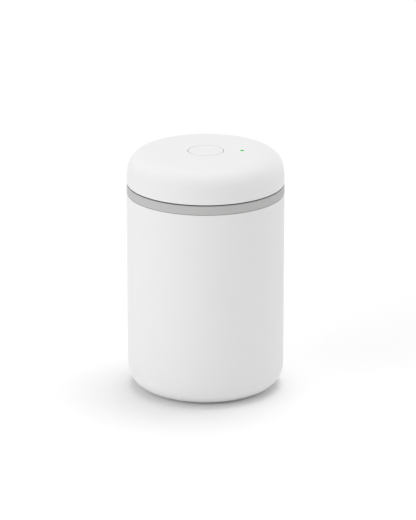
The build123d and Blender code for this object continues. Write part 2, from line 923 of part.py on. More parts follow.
# Contact tongue in the port
with BuildPart() as port_tongue:
    with BuildSketch(rearward(port_back_y + port_shell, 0, port_z)):
        Rectangle(tongue_width, tongue_height)
    extrude(amount=tongue_length)
port_tongue.part.label = "port_tongue"
export_step(port_tongue.part, "parts/port_tongue.step")

# Pressure sensor under the board, with a nipple that looks down
sensor_z = board_z - sensor_height
with BuildPart() as pressure_sensor:
    block(Plane.XY.offset(sensor_z), sensor_side, sensor_side, sensor_height)
    round_bar(Plane.XY.offset(sensor_z), nipple_radius, -nipple_length)
    round_bar(
        Plane.XY.offset(sensor_z - nipple_length - overrun), nipple_bore_radius,
        nipple_length + sensor_height / 2 + overrun, Mode.SUBTRACT,
    )
pressure_sensor.part.label = "pressure_sensor"
export_step(pressure_sensor.part, "parts/pressure_sensor.step")

# Battery cell, lying along X at the front of the tray
with BuildPart() as battery_cell:
    with BuildSketch(rightward(-battery_length / 2, battery_y, battery_z)):
        Circle(battery_radius)
    extrude(amount=battery_length)
    fillet(battery_cell.edges().filter_by(GeomType.CIRCLE), radius=battery_round)
battery_cell.part.label = "battery_cell"
export_step(battery_cell.part, "parts/battery_cell.step")

# Open holder for the cell, on two pins of the chassis
holder_length = battery_length + 2 * (contact_space + holder_wall)
holder_width = 2 * (battery_radius + holder_clearance + holder_wall)
holder_base = Plane((0, battery_y, tray_z))
with BuildPart() as battery_holder:
    block(holder_base, holder_length, holder_width, holder_wall + holder_side_height)
    block(
        holder_base.offset(holder_wall), holder_length - 2 * holder_wall,
        holder_width - 2 * holder_wall, holder_side_height + overrun, Mode.SUBTRACT,
    )
    with BuildSketch(holder_base):
        with GridLocations(holder_pin_spread, 0, 2, 1):
            Circle(holder_pin_radius + holder_pin_clearance)
    extrude(amount=holder_wall, mode=Mode.SUBTRACT)
battery_holder.part.label = "battery_holder"
export_step(battery_holder.part, "parts/battery_holder.step")

# Contact plates at both ends of the cell, each with a boss that touches it
contact_x = battery_length / 2 + contact_space - contact_height
with BuildPart() as battery_contacts:
    for plane in (
        rightward(-contact_x - contact_height, battery_y, battery_z),
        leftward(contact_x + contact_height, battery_y, battery_z),
    ):
        block(plane, contact_side, contact_side, contact_height)
        round_bar(plane, contact_boss_radius, contact_space)
battery_contacts.part.label = "battery_contacts"
export_step(battery_contacts.part, "parts/battery_contacts.step")

# Air manifold: one port down to the canister, and nipples to the pump, the valve and the sensor
with BuildPart() as air_manifold:
    block(Plane.XY.offset(manifold_z), manifold_side, manifold_side, manifold_height)
    with BuildSketch(Plane.XY.offset(manifold_z)):
        SlotCenterToCenter(2 * manifold_lug_reach, 2 * manifold_lug_radius, rotation=-45)
    extrude(amount=manifold_lug_height)
    half_side = manifold_side / 2
    round_bar(rightward(half_side, 0, hose_z), nipple_radius, nipple_length)
    round_bar(leftward(-half_side, 0, hose_z), nipple_radius, nipple_length)
    round_bar(Plane.XY.offset(manifold_top_z), nipple_radius, nipple_length)
    round_bar(
        rightward(-half_side - nipple_length - overrun, 0, hose_z), nipple_bore_radius,
        manifold_side + 2 * (nipple_length + overrun), Mode.SUBTRACT,
    )
    round_bar(
        Plane.XY.offset(hose_z), nipple_bore_radius,
        manifold_height / 2 + nipple_length + overrun, Mode.SUBTRACT,
    )
    round_bar(
        Plane.XY.offset(manifold_z - overrun), air_bore_radius,
        manifold_height / 2 + overrun, Mode.SUBTRACT,
    )
    round_bars(
        manifold_z - overrun, manifold_lug_places, small_hole_radius,
        manifold_lug_height + 2 * overrun, Mode.SUBTRACT,
    )
air_manifold.part.label = "air_manifold"
export_step(air_manifold.part, "parts/air_manifold.step")

# Seal ring between the manifold and the chassis
with BuildPart() as manifold_seal:
    with BuildSketch(Plane.XY.offset(manifold_z - seal_height)):
        Circle(seal_outer_radius)
        Circle(seal_inner_radius, mode=Mode.SUBTRACT)
    extrude(amount=seal_height)
manifold_seal.part.label = "manifold_seal"
export_step(manifold_seal.part, "parts/manifold_seal.step")

# Screws through the manifold lugs and the pump ears
with BuildPart() as mount_screws:
    for x, y in manifold_lug_places:
        small_screw(
            x, y, manifold_z + manifold_lug_height,
            manifold_lug_height + manifold_seat_height + chassis_wall / 4,
        )
    for x, y in pump_ear_places:
        small_screw(
            x, y, frame_z + pump_ear_height,
            pump_ear_height + pump_pad_height + chassis_wall / 4,
        )
mount_screws.part.label = "mount_screws"
export_step(mount_screws.part, "parts/mount_screws.step")

# Straight hose from the manifold up to the sensor
with BuildPart() as sensor_hose:
    with BuildSketch(Plane.XY.offset(manifold_top_z)):
        Circle(hose_radius)
        Circle(hose_bore_radius, mode=Mode.SUBTRACT)
    extrude(amount=sensor_z - manifold_top_z)
sensor_hose.part.label = "sensor_hose"
export_step(sensor_hose.part, "parts/sensor_hose.step")

# Straight hose from the manifold to the release valve
with BuildPart() as vent_hose:
    with BuildSketch(rightward(manifold_side / 2, 0, hose_z)):
        Circle(hose_radius)
        Circle(hose_bore_radius, mode=Mode.SUBTRACT)
    extrude(amount=valve_x - (valve_side + manifold_side) / 2)
vent_hose.part.label = "vent_hose"
export_step(vent_hose.part, "parts/vent_hose.step")

# Hose from the manifold up and round to the pump inlet
inlet_z = head_cover_z + head_cover_height / 2
inlet_x = pump_x + pump_width / 2
lane_x = -manifold_side / 2 - hose_lane
with BuildPart() as pump_hose:
    with BuildLine() as hose_path:
        FilletPolyline(
            (-manifold_side / 2, 0, hose_z),
            (lane_x, 0, hose_z),
            (lane_x, pump_y, inlet_z),
            (inlet_x, pump_y, inlet_z),
            radius=[hose_low_bend, hose_high_bend],
        )
    with BuildSketch(leftward(-manifold_side / 2, 0, hose_z)) as hose_ring:
        Circle(hose_radius)
        Circle(hose_bore_radius, mode=Mode.SUBTRACT)
    sweep(hose_ring.sketch, path=hose_path.line)
pump_hose.part.label = "pump_hose"
export_step(pump_hose.part, "parts/pump_hose.step")

# Pump frame: the crank room, with ears that are screwed to the chassis
room_depth = pump_depth - 2 * pump_wall
with BuildPart() as pump_frame:
    block(Plane((pump_x, pump_y, frame_z)), pump_width, pump_depth, pump_frame_height)
    with BuildSketch(Plane((pump_x, pump_y, frame_z))):
        SlotCenterToCenter(2 * pump_ear_reach, 2 * pump_ear_radius)
    extrude(amount=pump_ear_height)
    round_bars(
        frame_z - overrun, pump_ear_places, small_hole_radius,
        pump_ear_height + 2 * overrun, Mode.SUBTRACT,
    )
    block(
        Plane((pump_x, pump_y, frame_z + pump_wall)), crank_room_width, room_depth,
        pump_frame_height - pump_wall - diaphragm_hole_depth, Mode.SUBTRACT,
    )
    round_bar(
        Plane((pump_x, pump_y, head_z - diaphragm_hole_depth)), diaphragm_hole_radius,
        diaphragm_hole_depth + overrun, Mode.SUBTRACT,
    )
    round_bar(
        rearward(motor_y - pump_wall - overrun), motor_boss_radius + motor_boss_clearance,
        pump_wall + 2 * overrun, Mode.SUBTRACT,
    )
    with BuildSketch(Plane((pump_x, pump_y, head_z - small_screw_grip - pilot_spare))):
        with GridLocations(pump_screw_spread_x, pump_screw_spread_y, 2, 2):
            Circle(small_pilot_radius)
    extrude(amount=small_screw_grip + pilot_spare + overrun, mode=Mode.SUBTRACT)
pump_frame.part.label = "pump_frame"
export_step(pump_frame.part, "parts/pump_frame.step")

# Pump head: the chamber over the diaphragm
with BuildPart() as pump_head:
    block(Plane((pump_x, pump_y, head_z)), pump_width, pump_depth, head_height)
    round_bar(
        Plane((pump_x, pump_y, head_z - overrun)), diaphragm_radius + head_pocket_clearance,
        diaphragm_height + overrun, Mode.SUBTRACT,
    )
    round_bar(
        Plane((pump_x, pump_y, head_z)), head_chamber_radius,
        diaphragm_height + head_chamber_height, Mode.SUBTRACT,
    )
    with BuildSketch(Plane((pump_x, pump_y, head_z + diaphragm_height))):
        with GridLocations(head_port_spread, 0, 2, 1):
            Circle(head_port_radius)
    extrude(amount=head_height, mode=Mode.SUBTRACT)
    round_bar(
        Plane((pump_x, pump_y, head_cover_z - valve_disc_height)),
        valve_disc_radius + head_pocket_clearance, valve_disc_height + overrun, Mode.SUBTRACT,
    )
    with BuildSketch(Plane((pump_x, pump_y, head_z - overrun))):
        with GridLocations(pump_screw_spread_x, pump_screw_spread_y, 2, 2):
            Circle(small_hole_radius)
    extrude(amount=head_height + 2 * overrun, mode=Mode.SUBTRACT)
pump_head.part.label = "pump_head"
export_step(pump_head.part, "parts/pump_head.step")

# Rubber valve disc with two flaps, which also holds the vacuum when the pump stops
with BuildPart() as valve_disc:
    with BuildSketch(Plane((pump_x, pump_y, head_cover_z - valve_disc_height))):
        Circle(valve_disc_radius)
        for side in (-1, 1):
            with BuildLine(mode=Mode.PRIVATE) as flap:
                CenterArc(
                    (side * head_port_spread / 2, 0), flap_radius, -flap_sweep_degrees / 2,
                    flap_sweep_degrees,
                )
            SlotArc(flap.edges()[0], flap_slot, mode=Mode.SUBTRACT)
    extrude(amount=valve_disc_height)
valve_disc.part.label = "valve_disc"
export_step(valve_disc.part, "parts/valve_disc.step")

# Cover of the pump head, with the inlet nipple and the outlet
with BuildPart() as pump_head_cover:
    block(Plane((pump_x, pump_y, head_cover_z)), pump_width, pump_depth, head_cover_height)
    with BuildSketch(Plane((pump_x, pump_y, head_cover_z))):
        with GridLocations(head_port_spread, 0, 2, 1):
            Circle(head_cover_chamber_radius)
    extrude(amount=head_cover_chamber_height, mode=Mode.SUBTRACT)
    round_bar(rightward(inlet_x, pump_y, inlet_z), nipple_radius, inlet_nipple_length)
    round_bar(
        rightward(inlet_x + inlet_nipple_length + overrun, pump_y, inlet_z), nipple_bore_radius,
        -(inlet_nipple_length + overrun + (pump_width - head_port_spread) / 2), Mode.SUBTRACT,
    )
    round_bar(
        leftward(pump_x - pump_width / 2 - overrun, pump_y, inlet_z), head_port_radius,
        -(overrun + (pump_width - head_port_spread) / 2), Mode.SUBTRACT,
    )
    with BuildSketch(Plane((pump_x, pump_y, head_cover_z - overrun))):
        with GridLocations(pump_screw_spread_x, pump_screw_spread_y, 2, 2):
            Circle(small_hole_radius)
    extrude(amount=head_cover_height + 2 * overrun, mode=Mode.SUBTRACT)
pump_head_cover.part.label = "pump_head_cover"
export_step(pump_head_cover.part, "parts/pump_head_cover.step")

# Screws that clamp the head cover, the head and the diaphragm to the frame
with BuildPart() as pump_screws:
    for x in (-pump_screw_spread_x / 2, pump_screw_spread_x / 2):
        for y in (-pump_screw_spread_y / 2, pump_screw_spread_y / 2):
            small_screw(
                pump_x + x, pump_y + y, head_cover_top_z,
                head_height + head_cover_height + small_screw_grip,
            )
pump_screws.part.label = "pump_screws"
export_step(pump_screws.part, "parts/pump_screws.step")

# Rubber diaphragm: a dished sheet, clamped at its rim and at its middle
with BuildPart() as diaphragm:
    rim_inner = diaphragm_hole_radius
    turned(
        [
            (stud_radius + stud_fit, rod_top_z),
            (rod_plate_radius, rod_top_z),
            (rim_inner, head_z),
            (diaphragm_radius, head_z),
            (diaphragm_radius, head_z + diaphragm_height),
            (rim_inner, head_z + diaphragm_height),
            (rod_plate_radius, rod_top_z + diaphragm_web),
            (stud_radius + stud_fit, rod_top_z + diaphragm_web),
        ],
        (pump_x, pump_y),
    )
diaphragm.part.label = "diaphragm"
export_step(diaphragm.part, "parts/diaphragm.step")

# Connecting rod: a ring round the crank pin, with a plate and a stud under the diaphragm
ring_bore = crank_pin_radius + 2 * crank_throw + rod_ring_air
ring_outer = ring_bore + rod_ring_wall
plate_z = rod_top_z - rod_plate_height
with BuildPart() as connecting_rod:
    block(
        Plane((pump_x, pump_y, shaft_z)), rod_stem_width, rod_ring_depth, plate_z - shaft_z
    )
    round_bar(rearward(pump_y - rod_ring_depth / 2), ring_outer, rod_ring_depth)
    round_bar(Plane((pump_x, pump_y, plate_z)), rod_plate_radius, rod_plate_height)
    round_bar(
        Plane((pump_x, pump_y, rod_top_z)), stud_radius, diaphragm_web + clamp_height
    )
    round_bar(
        rearward(pump_y - rod_ring_depth / 2 - overrun), ring_bore,
        rod_ring_depth + 2 * overrun, Mode.SUBTRACT,
    )
connecting_rod.part.label = "connecting_rod"
export_step(connecting_rod.part, "parts/connecting_rod.step")

# Clamp disc on the stud, over the diaphragm
with BuildPart() as clamp_disc:
    with BuildSketch(Plane((pump_x, pump_y, rod_top_z + diaphragm_web))):
        Circle(clamp_radius)
        Circle(stud_radius + bushing_fit, mode=Mode.SUBTRACT)
    extrude(amount=clamp_height)
clamp_disc.part.label = "clamp_disc"
export_step(clamp_disc.part, "parts/clamp_disc.step")

# Crank on the end of the motor shaft, with a pin off its middle
hub_front_y = pump_y + rod_ring_depth / 2 + crank_gap
with BuildPart() as crank:
    round_bar(rearward(hub_front_y), crank_hub_radius, crank_hub_height)
    round_bar(
        rearward(hub_front_y, pump_x + crank_throw), crank_pin_radius,
        -(2 * crank_gap + rod_ring_depth),
    )
    round_bar(
        rearward(hub_front_y + crank_hub_height / 2), shaft_radius + bushing_fit,
        crank_hub_height, Mode.SUBTRACT,
    )
crank.part.label = "crank"
export_step(crank.part, "parts/crank.step")

# Motor can with a front boss
boss_y = motor_y - motor_boss_length
with BuildPart() as motor_can:
    round_bar(rearward(motor_y), motor_radius, motor_length)
    round_bar(rearward(boss_y), motor_boss_radius, motor_boss_length)
    round_bar(
        rearward(motor_y + motor_wall), motor_radius - motor_wall, motor_length, Mode.SUBTRACT
    )
    round_bar(
        rearward(boss_y - overrun), bushing_radius + bushing_fit,
        motor_boss_length + motor_wall + 2 * overrun, Mode.SUBTRACT,
    )
motor_can.part.label = "motor_can"
export_step(motor_can.part, "parts/motor_can.step")

# Two curved magnets inside the can
with BuildPart() as motor_magnets:
    for middle in (0, 180):
        with BuildSketch(rearward(motor_y + armature_inset)) as magnet:
            with BuildLine():
                start = middle - magnet_sweep_degrees / 2
                outer = CenterArc((0, 0), magnet_outer_radius, start, magnet_sweep_degrees)
                inner = CenterArc((0, 0), magnet_inner_radius, start, magnet_sweep_degrees)
                Line(outer @ 0, inner @ 0)
                Line(outer @ 1, inner @ 1)
            make_face()
        extrude(amount=motor_length - 2 * armature_inset)
motor_magnets.part.label = "motor_magnets"
export_step(motor_magnets.part, "parts/motor_magnets.step")

# Armature on the shaft
with BuildPart() as motor_armature:
    with BuildSketch(rearward(motor_y + armature_inset)):
        Circle(armature_radius)
        Circle(shaft_radius + bushing_fit, mode=Mode.SUBTRACT)
    extrude(amount=motor_length - 2 * armature_inset)
motor_armature.part.label = "motor_armature"
export_step(motor_armature.part, "parts/motor_armature.step")

# Motor shaft, from the crank to the rear bushing
shaft_front_y = hub_front_y + crank_hub_height / 2
shaft_end_y = motor_end_y + end_cap_height / 2
with BuildPart() as motor_shaft:
    round_bar(rearward(shaft_front_y), shaft_radius, shaft_end_y - shaft_front_y)
motor_shaft.part.label = "motor_shaft"
export_step(motor_shaft.part, "parts/motor_shaft.step")

# End cap of the motor, with a plug inside the can and a seat for the rear bushing
with BuildPart() as motor_end_cap:
    round_bar(rearward(motor_end_y), end_cap_radius, end_cap_height)
    round_bar(
        rearward(motor_end_y), motor_radius - motor_wall - end_cap_fit, -end_cap_plug_height
    )
    round_bar(
        rearward(motor_end_y - end_cap_plug_height - overrun), bushing_radius + bushing_fit,
        bushing_length + overrun, Mode.SUBTRACT,
    )
    round_bar(
        rearward(motor_end_y - end_cap_plug_height), shaft_radius + 2 * shaft_running_fit,
        shaft_end_y - motor_end_y + end_cap_plug_height + shaft_running_fit, Mode.SUBTRACT,
    )
motor_end_cap.part.label = "motor_end_cap"
export_step(motor_end_cap.part, "parts/motor_end_cap.step")

# Two bronze bushings that carry the shaft
with BuildPart() as motor_bushings:
    for y in (boss_y, motor_end_y - end_cap_plug_height):
        with BuildSketch(rearward(y)) as bushing:
            Circle(bushing_radius)
            Circle(shaft_radius + shaft_running_fit, mode=Mode.SUBTRACT)
        extrude(amount=bushing_length)
motor_bushings.part.label = "motor_bushings"
export_step(motor_bushings.part, "parts/motor_bushings.step")

# Foam saddle between the motor and the tray
with BuildPart() as motor_saddle:
    block(
        Plane((pump_x, motor_y + motor_length / 2, tray_z)), damper_width, damper_length,
        damper_height,
    )
    round_bar(rearward(motor_y), motor_radius + damper_fit, motor_length, Mode.SUBTRACT)
motor_saddle.part.label = "motor_saddle"
export_step(motor_saddle.part, "parts/motor_saddle.step")

# Body of the release valve: a side port, a seat and a chamber with a vent
with BuildPart() as valve_body:
    block(Plane((valve_x, 0, tray_z)), valve_side, valve_side, valve_top_z - tray_z)
    round_bar(leftward(valve_x - valve_side / 2, 0, hose_z), nipple_radius, nipple_length)
    round_bar(
        leftward(valve_x - valve_side / 2 - nipple_length - overrun, 0, hose_z),
        nipple_bore_radius, -(nipple_length + overrun + valve_side / 2), Mode.SUBTRACT,
    )
    round_bar(
        Plane((valve_x, 0, hose_z)), valve_bore_radius, valve_top_z - hose_z, Mode.SUBTRACT
    )
    round_bar(
        Plane((valve_x, 0, valve_seat_z)), valve_chamber_radius,
        valve_chamber_height + overrun, Mode.SUBTRACT,
    )
    round_bar(
        rightward(valve_x, 0, valve_seat_z + valve_chamber_height / 2), vent_bore_radius,
        valve_side, Mode.SUBTRACT,
    )
valve_body.part.label = "valve_body"
export_step(valve_body.part, "parts/valve_body.step")

# Steel frame of the solenoid, open at the front and the back
solenoid_height = solenoid_top_z - valve_top_z
with BuildPart() as solenoid_frame:
    block(Plane((valve_x, 0, valve_top_z)), solenoid_width, solenoid_depth, solenoid_height)
    block(
        Plane((valve_x, 0, valve_top_z + solenoid_plate)),
        solenoid_width - 2 * solenoid_plate, solenoid_depth + 2 * overrun,
        solenoid_height - 2 * solenoid_plate, Mode.SUBTRACT,
    )
    round_bar(
        Plane((valve_x, 0, valve_top_z - overrun)), coil_bore_radius,
        solenoid_plate + 2 * overrun, Mode.SUBTRACT,
    )
    round_bar(
        Plane((valve_x, 0, solenoid_top_z - solenoid_plate - overrun)), core_radius + core_fit,
        solenoid_plate + 2 * overrun, Mode.SUBTRACT,
    )
solenoid_frame.part.label = "solenoid_frame"
export_step(solenoid_frame.part, "parts/solenoid_frame.step")

# Wound coil with its bore
coil_z = valve_top_z + solenoid_plate
with BuildPart() as solenoid_coil:
    with BuildSketch(Plane((valve_x, 0, coil_z))):
        Circle(coil_radius)
        Circle(coil_bore_radius, mode=Mode.SUBTRACT)
    extrude(amount=solenoid_height - 2 * solenoid_plate - coil_air)
solenoid_coil.part.label = "solenoid_coil"
export_step(solenoid_coil.part, "parts/solenoid_coil.step")

# Fixed core in the top of the coil
core_z = solenoid_top_z - core_length
with BuildPart() as solenoid_core:
    round_bar(Plane((valve_x, 0, core_z)), core_radius, core_length)
solenoid_core.part.label = "solenoid_core"
export_step(solenoid_core.part, "parts/solenoid_core.step")

# Rubber tip that closes the seat
with BuildPart() as vent_seal:
    round_bar(Plane((valve_x, 0, valve_seat_z)), vent_seal_radius, vent_seal_height)
vent_seal.part.label = "vent_seal"
export_step(vent_seal.part, "parts/vent_seal.step")

# Plunger with a pocket for its spring
plunger_z = valve_seat_z + vent_seal_height
plunger_top_z = core_z - plunger_travel - plunger_air
pocket_z = plunger_top_z - plunger_pocket_depth
with BuildPart() as solenoid_plunger:
    round_bar(Plane((valve_x, 0, plunger_z)), plunger_radius, plunger_top_z - plunger_z)
    round_bar(
        Plane((valve_x, 0, pocket_z)), plunger_pocket_radius, plunger_pocket_depth + overrun,
        Mode.SUBTRACT,
    )
solenoid_plunger.part.label = "solenoid_plunger"
export_step(solenoid_plunger.part, "parts/solenoid_plunger.step")

# Spring that presses the plunger down on its seat
with BuildPart() as solenoid_spring:
    coil(
        (valve_x, 0), solenoid_spring_radius, solenoid_spring_wire, pocket_z, core_z,
        solenoid_spring_turns,
    )
solenoid_spring.part.label = "solenoid_spring"
export_step(solenoid_spring.part, "parts/solenoid_spring.step")
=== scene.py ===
import json
import math

import bmesh
import bpy
from bpy.props import FloatProperty, FloatVectorProperty, IntProperty, PointerProperty
from mathutils import Euler, Matrix, Vector
from mathutils.geometry import interpolate_bezier


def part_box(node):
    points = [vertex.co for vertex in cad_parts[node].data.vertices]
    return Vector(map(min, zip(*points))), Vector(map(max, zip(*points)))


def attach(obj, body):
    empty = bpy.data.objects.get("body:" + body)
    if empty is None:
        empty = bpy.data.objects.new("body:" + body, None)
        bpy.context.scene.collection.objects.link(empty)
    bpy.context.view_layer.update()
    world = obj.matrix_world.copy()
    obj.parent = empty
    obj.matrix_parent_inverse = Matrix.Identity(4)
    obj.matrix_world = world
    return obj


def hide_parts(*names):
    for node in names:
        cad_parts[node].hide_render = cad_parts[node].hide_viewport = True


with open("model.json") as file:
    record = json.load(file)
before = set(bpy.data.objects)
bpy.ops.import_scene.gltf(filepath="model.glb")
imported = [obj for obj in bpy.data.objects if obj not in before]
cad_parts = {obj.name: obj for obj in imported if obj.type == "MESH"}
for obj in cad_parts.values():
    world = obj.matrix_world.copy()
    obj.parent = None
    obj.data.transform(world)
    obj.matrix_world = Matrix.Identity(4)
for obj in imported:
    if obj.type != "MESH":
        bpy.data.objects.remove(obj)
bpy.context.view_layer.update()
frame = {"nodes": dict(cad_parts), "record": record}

bl_info = {
    "name": "Vacuum Seal Canister",
    "version": (1, 0, 0),
    "blender": (4, 5, 0),
    "location": "View3D > Sidebar > Canister",
    "description": "Builds a coated steel canister with a pump lid round its packed frame",
    "category": "Add Mesh",
}

MM = 0.001
MICRON = 1e-6

# Steps of a full turn, for wide pieces, for middling ones and for slim bars and holes
WIDE_TURN, MIDDLE_TURN, SLIM_TURN = 256, 192, 64
# Bars stand turned by half a step, so that none of their corners meets an edge of a wide piece
HALF_STEP = Matrix.Rotation(math.pi / SLIM_TURN, 4, "Z")
# Points along a soft corner, outside and inside the wall
OUTER_POINTS, INNER_POINTS = 64, 32
# Steps in the rounding of an outline's corner and of a small piece's edge
CORNER_STEPS, EDGE_STEPS = 4, 2
# A rounding gets support points beside it, so many roundings away, on a side with room for them
SUPPORT_REACH, SUPPORT_ROOM = 1.8, 1.5
# Rings of faces on the flat tops and ring grooves in the foot, as shares of their radius
LID_RINGS = (0.55, 0.7, 0.9, 0.985)
BUTTON_RINGS = (0.0, 0.3, 0.6, 0.85)
FOOT_RINGS = (0.35, 0.62, 0.86)
# Where the two lips of the mouth seal start, as shares of its height
LIP_ROOTS = (0.04, 0.56)
# Points closer than this are one point
SAME_PLACE = MICRON
# Edges that turn more than this stay crisp, and a face whose normal rises above this is level
CRISP_ANGLE = math.radians(32)
LEVEL_NORMAL = 0.9
# Places of a Mix node's two colours among its inputs and of its result among its outputs
MIX_FIRST, MIX_SECOND, MIX_RESULT = 6, 7, 2
# Length of one band of a wave texture at a scale of 1, in metres
WAVE_LENGTH = math.pi / 10
# The sum of two patterns of 0 to 1 stays mostly within this range
PATTERN_RANGE = {"From Min": 0.5, "From Max": 1.5}
WHITE = (1.0, 1.0, 1.0, 1.0)

# Heights and places that the frame gives
CUP_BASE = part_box("canister_body")[0].z
NECK_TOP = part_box("canister_body")[1].z
SHOULDER, COLLAR_TOP = (corner.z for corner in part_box("rim_collar"))
LID_BOTTOM, LID_TOP = (corner.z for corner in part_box("lid_cover"))
RING_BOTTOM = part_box("lid_chassis")[0].z
FLANGE_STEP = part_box("landing_gasket")[1].z
SEAL_LOW, SEAL_HIGH = (corner.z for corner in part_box("lip_gasket"))
BUTTON_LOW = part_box("button_cap")[0].z
PIPE_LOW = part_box("light_pipe")[0].z
CAP_LOW, CAP_HIGH = (corner.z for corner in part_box("filter_cap"))
BOARD_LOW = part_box("main_board")[0].z
BOSS_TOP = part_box("pump_frame")[0].z
SEAT_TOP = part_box("air_manifold")[0].z
PORT_BACK, PORT_FRONT = (corner.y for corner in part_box("charge_port"))
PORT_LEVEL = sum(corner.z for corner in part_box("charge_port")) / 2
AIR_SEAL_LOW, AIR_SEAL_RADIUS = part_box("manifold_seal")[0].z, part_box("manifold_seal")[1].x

# Places of the tray's posts, seats and pins, in millimetres
BOARD_POSTS = ((-5, 33), (30, 20), (30, -12), (-5, -12))
PUMP_POSTS = ((-44, -8), (-18, -8))
LUG_SEATS = ((-7.99, 7.99), (7.99, -7.99))
HOLDER_PINS = ((-15, -26.6), (15, -26.6))

# Lamps: name, turn from the front towards the right, height above the horizon, spread and power
LAMPS = [
    ("overhead_lamp", 150.0, 80.0, 35.0, 1.41),
    ("left_lamp", -60.0, 4.0, 60.0, 1.6),
    ("right_lamp", 90.0, 4.0, 90.0, 0.7),
]

# Shader inputs of bare metal and of matt plastic and paint
METAL = {"Metallic": 1.0}
SOFT = {"Specular IOR Level": 0.2}

# Finishes of the nodes that keep their own mesh, by slot: colour, roughness and pattern
INNER_FINISHES = {
    "lamp": ((0.7, 0.68, 0.5), 0.3, {"grain": 0.4, "relief": 2}),
    "chassis_white": ((0.74, 0.74, 0.735), 0.45, {"grain": 0.4, "relief": 4, "tone": 0.01}),
    "board_green": ((0.02, 0.12, 0.05), 0.4, {"grain": 1.2, "relief": 12, "tone": 0.25,
                    "pattern": "cells"}),
    "chip_black": ((0.025, 0.025, 0.026), 0.55, {"grain": 0.15, "relief": 4, "tone": 0.15}),
    "switch_black": ((0.03, 0.03, 0.031), 0.5, {"grain": 0.2, "relief": 3, "tone": 0.1}),
    "tin_steel": ((0.62, 0.61, 0.59), 0.32, {"grain": 0.08, "relief": 3, "tone": 0.06,
                  "stretch": (1.0, 0.05, 1.0), "sockets": METAL}),
    "screw_steel": ((0.55, 0.56, 0.57), 0.35, {"grain": 0.12, "relief": 3, "tone": 0.08,
                    "sockets": METAL}),
    "spring_steel": ((0.5, 0.5, 0.5), 0.28, {"grain": 0.1, "relief": 2, "tone": 0.08,
                     "stretch": (0.2, 0.2, 1.0), "sockets": METAL}),
    "bronze": ((0.52, 0.30, 0.11), 0.42, {"grain": 0.1, "relief": 6, "tone": 0.12,
               "pattern": "cells", "sockets": METAL}),
    "copper": ((0.55, 0.20, 0.08), 0.3, {"grain": 0.25, "relief": 60, "tone": 0.12,
               "pattern": "turns", "sockets": METAL}),
    "battery_wrap": ((0.035, 0.09, 0.3), 0.38, {"grain": 0.9, "relief": 8, "tone": 0.06}),
    "pump_plastic": ((0.045, 0.045, 0.05), 0.55, {"grain": 0.25, "relief": 5, "tone": 0.1}),
    "hose_clear": ((0.62, 0.62, 0.6), 0.35, {"grain": 0.8, "relief": 6, "tone": 0.03,
                   "sockets": {"Transmission Weight": 0.35, "IOR": 1.41}}),
    "rubber_black": ((0.02, 0.02, 0.02), 0.72, {"grain": 0.2, "relief": 6, "tone": 0.15}),
    "magnet_grey": ((0.09, 0.09, 0.095), 0.6, {"grain": 0.15, "relief": 8, "tone": 0.15}),
    "foam": ((0.07, 0.07, 0.07), 0.95, {"grain": 0.9, "relief": 200, "tone": 0.3,
             "pattern": "cells"}),
    "felt": ((0.68, 0.68, 0.65), 0.95, {"grain": 0.25, "relief": 40, "tone": 0.08,
             "sockets": {"Sheen Weight": 0.4}}),
}


def size(name, millimetres, description):
    """A length that a user can change, given in millimetres."""
    return FloatProperty(
        name=name, description=description, default=millimetres * MM, precision=5,
        unit="LENGTH", subtype="DISTANCE",
    )


def share(name, value, description):
    """A plain ratio that a user can change."""
    return FloatProperty(
        name=name, description=description, default=value, min=0.0, max=1.0, subtype="FACTOR"
    )


def tint(name, colour, description):
    """A colour that a user can change, as linear red, green and blue."""
    return FloatVectorProperty(
        name=name, description=description, default=colour, size=3, min=0.0, max=1.0,
        subtype="COLOR",
    )


class CupSizes(bpy.types.PropertyGroup):
    """Sizes of the steel cup, its collar and its foot."""

    radius: size("Radius", 60, "Outer radius of the cup, the collar and the lid")
    wall: size("Wall", 1, "Thickness of the steel")
    base_corner: size("Base corner", 18.2, "Reach of the soft corner at the base")
    base_fullness: share("Base fullness", 0.607, "How far the base corner is pulled out")
    shoulder_round: size("Shoulder round", 0.2, "Rounding of the edge under the collar")
    neck: size("Neck", 56.5, "Outer radius of the neck under the collar")
    recess: size("Recess radius", 38.3, "Radius of the recess for the foot")
    recess_depth: size("Recess depth", 0.8, "Depth of the recess for the foot")
    collar_clearance: size("Collar clearance", 0.1, "Room between the neck and the collar")
    collar_round: size("Collar round", 0.45, "Rounding of the collar's upper edge")
    joint_round: size("Joint round", 0.15, "Rounding of the collar's lower edge")
    mouth_round: size("Mouth round", 0.6, "Rounding of the collar's inner top edge")
    joint_line: size("Joint line", 0.34, "Height of the thin line under the collar")
    joint_depth: size("Joint depth", 0.8, "Depth of the thin line under the collar")
    foot: size("Foot radius", 38, "Radius of the rubber foot")
    foot_round: size("Foot round", 0.4, "Rounding of the foot's edge")
    foot_groove: size("Foot groove", 1.6, "Width of the ring grooves in the foot")
    foot_groove_depth: size("Foot groove depth", 0.3, "Depth of the ring grooves in the foot")
    foot_groove_round: size("Foot groove round", 0.1, "Rounding of the ring grooves' edges")


